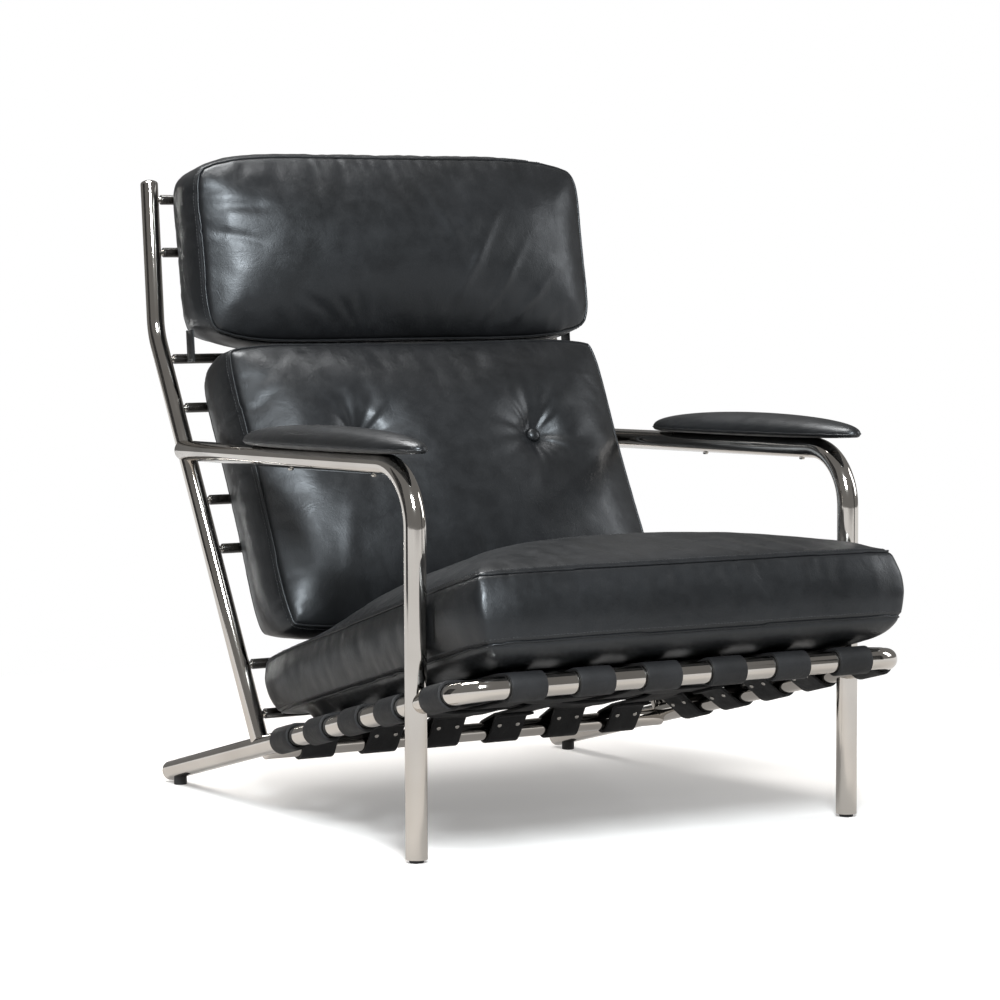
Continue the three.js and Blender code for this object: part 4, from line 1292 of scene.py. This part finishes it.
# %% Arm pads with their welts
PAD_HALF_LENGTH = 246 * MM
PAD_HALF_WIDTH = 30 * MM
WELT_RADIUS = 0.9 * MM
PAD_STUFFING = 4.2 * MM  # the leather goes down over the edge of the strip
PAST_BEND = 18 * MM
STRIP_THICKNESS, WELT_HEIGHT = 2.6 * MM, 3 * MM
arm_length = math.hypot(arm_joint.y - LEG_Y, LEG_TOP - arm_joint.z)
pad_middle = arm_length + PAST_BEND - PAD_HALF_LENGTH
welt_level = TUBE + FIT + STRIP_THICKNESS + FIT + WELT_HEIGHT
for side_name, side in (("left", -1), ("right", 1)):
    pad = measured_copy("arm_pad_" + side_name, "leather_arm_pad_" + side_name)
    outward(pad)
    finer = pad.modifiers.new("finer", "SUBSURF")
    finer.levels = finer.render_levels = 3
    stuffed = pad.modifiers.new("stuffed", "DISPLACE")
    stuffed.mid_level = 0
    stuffed.strength = PAD_STUFFING
    finish_modifiers(pad)
    soften(pad, 180)
    dress(pad, pad_leather, "cushion_leather", "arm_pad_" + side_name)

    surface = surface_of(pad)
    pad_axes = (
        Matrix.Translation((side * (HALF_SPAN + ARM_OUTSET), arm_joint.y, arm_joint.z))
        @ Matrix.Rotation(-ARM_RISE, 4, "X") @ Matrix.Translation((0, -pad_middle, welt_level)))
    let_go()
    bpy.ops.mesh.primitive_circle_add(vertices=160, radius=1, fill_type="NOTHING")
    welt = new_piece("welt_arm_pad_" + side_name)
    for vertex in welt.data.vertices:
        angle = math.atan2(vertex.co.y, vertex.co.x)
        lengthwise = math.copysign(abs(math.sin(angle)) ** 0.8, math.sin(angle))
        width = PAD_HALF_WIDTH * max(1 - abs(lengthwise) ** 3.5, 0) ** 0.5
        width *= 1 if math.cos(angle) >= 0 else -1
        edge = pad_axes @ Vector((width, lengthwise * PAD_HALF_LENGTH, 0))
        near, normal, _, _ = surface.find_nearest(edge)
        vertex.co = near + normal * WELT_RADIUS * 0.2
    dress(piped(welt, WELT_RADIUS, 2), pad_leather, "cushion_leather")

# %% Finishes for the measured pieces that stay
# The strips under the arm pads are made near black, which keeps the space beneath each pad dark; the
# screws are nickel.
for name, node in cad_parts.items():
    for kind, finish in (("arm_pad_plate", black_lacquer), ("arm_pad_screw", nickel)):
        if name.startswith(kind):
            for material_slot in node.material_slots:
                material_slot.material = finish

# %% [markdown]
# ## Studio
# A pale floor, a soft lamp in front and to the left, a weak one to the right and a large one above
# and behind. The far floor and the world are white to the camera. In reflections the near floor is
# darker and the room is dim. Three dark boards, which the camera does not see, stand round the
# chair, because chrome in an all-white room has no edges.

# %% Floor
FLOOR_HALF = 9.0
FADE_FROM, FADE_TO = 0.8, 1.7  # the floor turns white between these distances
NEAR_GLOW = 0.29  # the near floor's own light, for the camera and for reflections
MIRRORED = 0.88  # how bright the far floor is in reflections


def source_node(tree, kind, colour, strength=1.0):
    node = tree.nodes.new(kind)
    node.inputs["Color"].default_value = (*colour, 1)
    node.inputs["Strength"].default_value = strength
    return node.outputs[0]


def mixed(tree, factor, first, second):
    node = tree.nodes.new("ShaderNodeMixShader")
    for socket, value in zip(node.inputs, (factor, first, second)):
        tree.links.new(value, socket)
    return node.outputs[0]


let_go()
bpy.ops.mesh.primitive_plane_add(size=2 * FLOOR_HALF, location=(0, 0, 0))
floor = new_piece("floor")
floor_material = bpy.data.materials.new("floor")
floor_material.use_nodes = True
tree = floor_material.node_tree
tree.nodes.clear()
light_path = tree.nodes.new("ShaderNodeLightPath")
in_mirror = light_path.outputs["Is Glossy Ray"]
seen = math_node(tree, "MAXIMUM", light_path.outputs["Is Camera Ray"], in_mirror)

paint = tree.nodes.new("ShaderNodeMix")
paint.data_type = "RGBA"
paint.inputs["A"].default_value = (0.80, 0.785, 0.77, 1)
paint.inputs["B"].default_value = (0.29, 0.275, 0.26, 1)
tree.links.new(in_mirror, paint.inputs["Factor"])
diffuse = tree.nodes.new("ShaderNodeBsdfDiffuse")
tree.links.new(paint.outputs["Result"], diffuse.inputs["Color"])
near_glow = source_node(tree, "ShaderNodeEmission", (1.0, 0.985, 0.97))
tree.links.new(math_node(tree, "MULTIPLY", seen, NEAR_GLOW), near_glow.node.inputs["Strength"])
near_floor = tree.nodes.new("ShaderNodeAddShader")
tree.links.new(diffuse.outputs[0], near_floor.inputs[0])
tree.links.new(near_glow, near_floor.inputs[1])

far_floor = source_node(tree, "ShaderNodeEmission", (1, 1, 1))
tree.links.new(range_node(tree, in_mirror, 0, 1, 1.0, MIRRORED), far_floor.node.inputs["Strength"])
distance = tree.nodes.new("ShaderNodeVectorMath")
distance.operation = "LENGTH"
tree.links.new(tree.nodes.new("ShaderNodeTexCoord").outputs["Object"], distance.inputs[0])
fade = range_node(tree, distance.outputs["Value"], FADE_FROM, FADE_TO, 0.0, 1.0)
surface_shader = mixed(
    tree, math_node(tree, "MULTIPLY", seen, fade), near_floor.outputs[0], far_floor)
tree.links.new(surface_shader, tree.nodes.new("ShaderNodeOutputMaterial").inputs["Surface"])
floor.data.materials.append(floor_material)

# %% World
ROOM_LIGHT = 0.19
world = bpy.data.worlds.new("studio")
bpy.context.scene.world = world
world.use_nodes = True
tree = world.node_tree
tree.nodes.clear()
seen_white = source_node(tree, "ShaderNodeBackground", (1, 1, 1))
room = source_node(tree, "ShaderNodeBackground", (1.0, 0.985, 0.96), ROOM_LIGHT)
by_camera = tree.nodes.new("ShaderNodeLightPath").outputs["Is Camera Ray"]
tree.links.new(
    mixed(tree, by_camera, room, seen_white), tree.nodes.new("ShaderNodeOutputWorld").inputs["Surface"])

# %% Lamps and boards
AIM = Vector((0, 0, 0.45))
BOARD_SHADE = 0.02


def facing(at, axis):
    """Stand at a place with an axis pointing at the middle of the chair."""
    turned = (AIM - Vector(at)).to_track_quat(axis, "Y").to_matrix().to_4x4()
    return Matrix.Translation(at) @ turned


def lamp(name, at, size, power, colour):
    data = bpy.data.lights.new(name, "AREA")
    data.shape = "RECTANGLE"
    data.size, data.size_y = size
    data.energy = power
    data.color = colour
    light = bpy.data.objects.new(name, data)
    light.matrix_world = facing(at, "-Z")
    bpy.context.collection.objects.link(light)


def board(name, at, size):
    let_go()
    bpy.ops.mesh.primitive_plane_add(size=1)
    panel = bpy.context.object
    panel.name = name
    panel.data.transform(Matrix.Diagonal((size[0], size[1], 1, 1)))
    panel.data.transform(facing(at, "Z"))
    material = bpy.data.materials.new(name)
    material.use_nodes = True
    shader = material.node_tree.nodes["Principled BSDF"]
    shader.inputs["Base Color"].default_value = (BOARD_SHADE, BOARD_SHADE, BOARD_SHADE, 1)
    shader.inputs["Roughness"].default_value = 0.9
    panel.data.materials.append(material)
    panel.visible_camera = False


lamp("key", (-1.2, -2.6, 2.3), (0.75, 1.0), 160, (0.92, 0.97, 1.0))
lamp("fill", (2.9, -0.9, 1.5), (0.8, 1.4), 22, (0.97, 0.985, 1.0))
lamp("overhead", (-0.45, 0.65, 2.85), (1.5, 1.3), 108, (1.0, 0.985, 0.965))
board("dark_board_right", (2.3, -2.6, 0.8), (0.55, 2.2))
board("dark_board_left", (-3.0, 1.2, 0.9), (1.6, 2.4))
board("dark_board_back", (0.9, 3.2, 1.0), (0.8, 2.6))

# %% Colours are shown as they are
bpy.context.scene.view_settings.view_transform = "Standard"
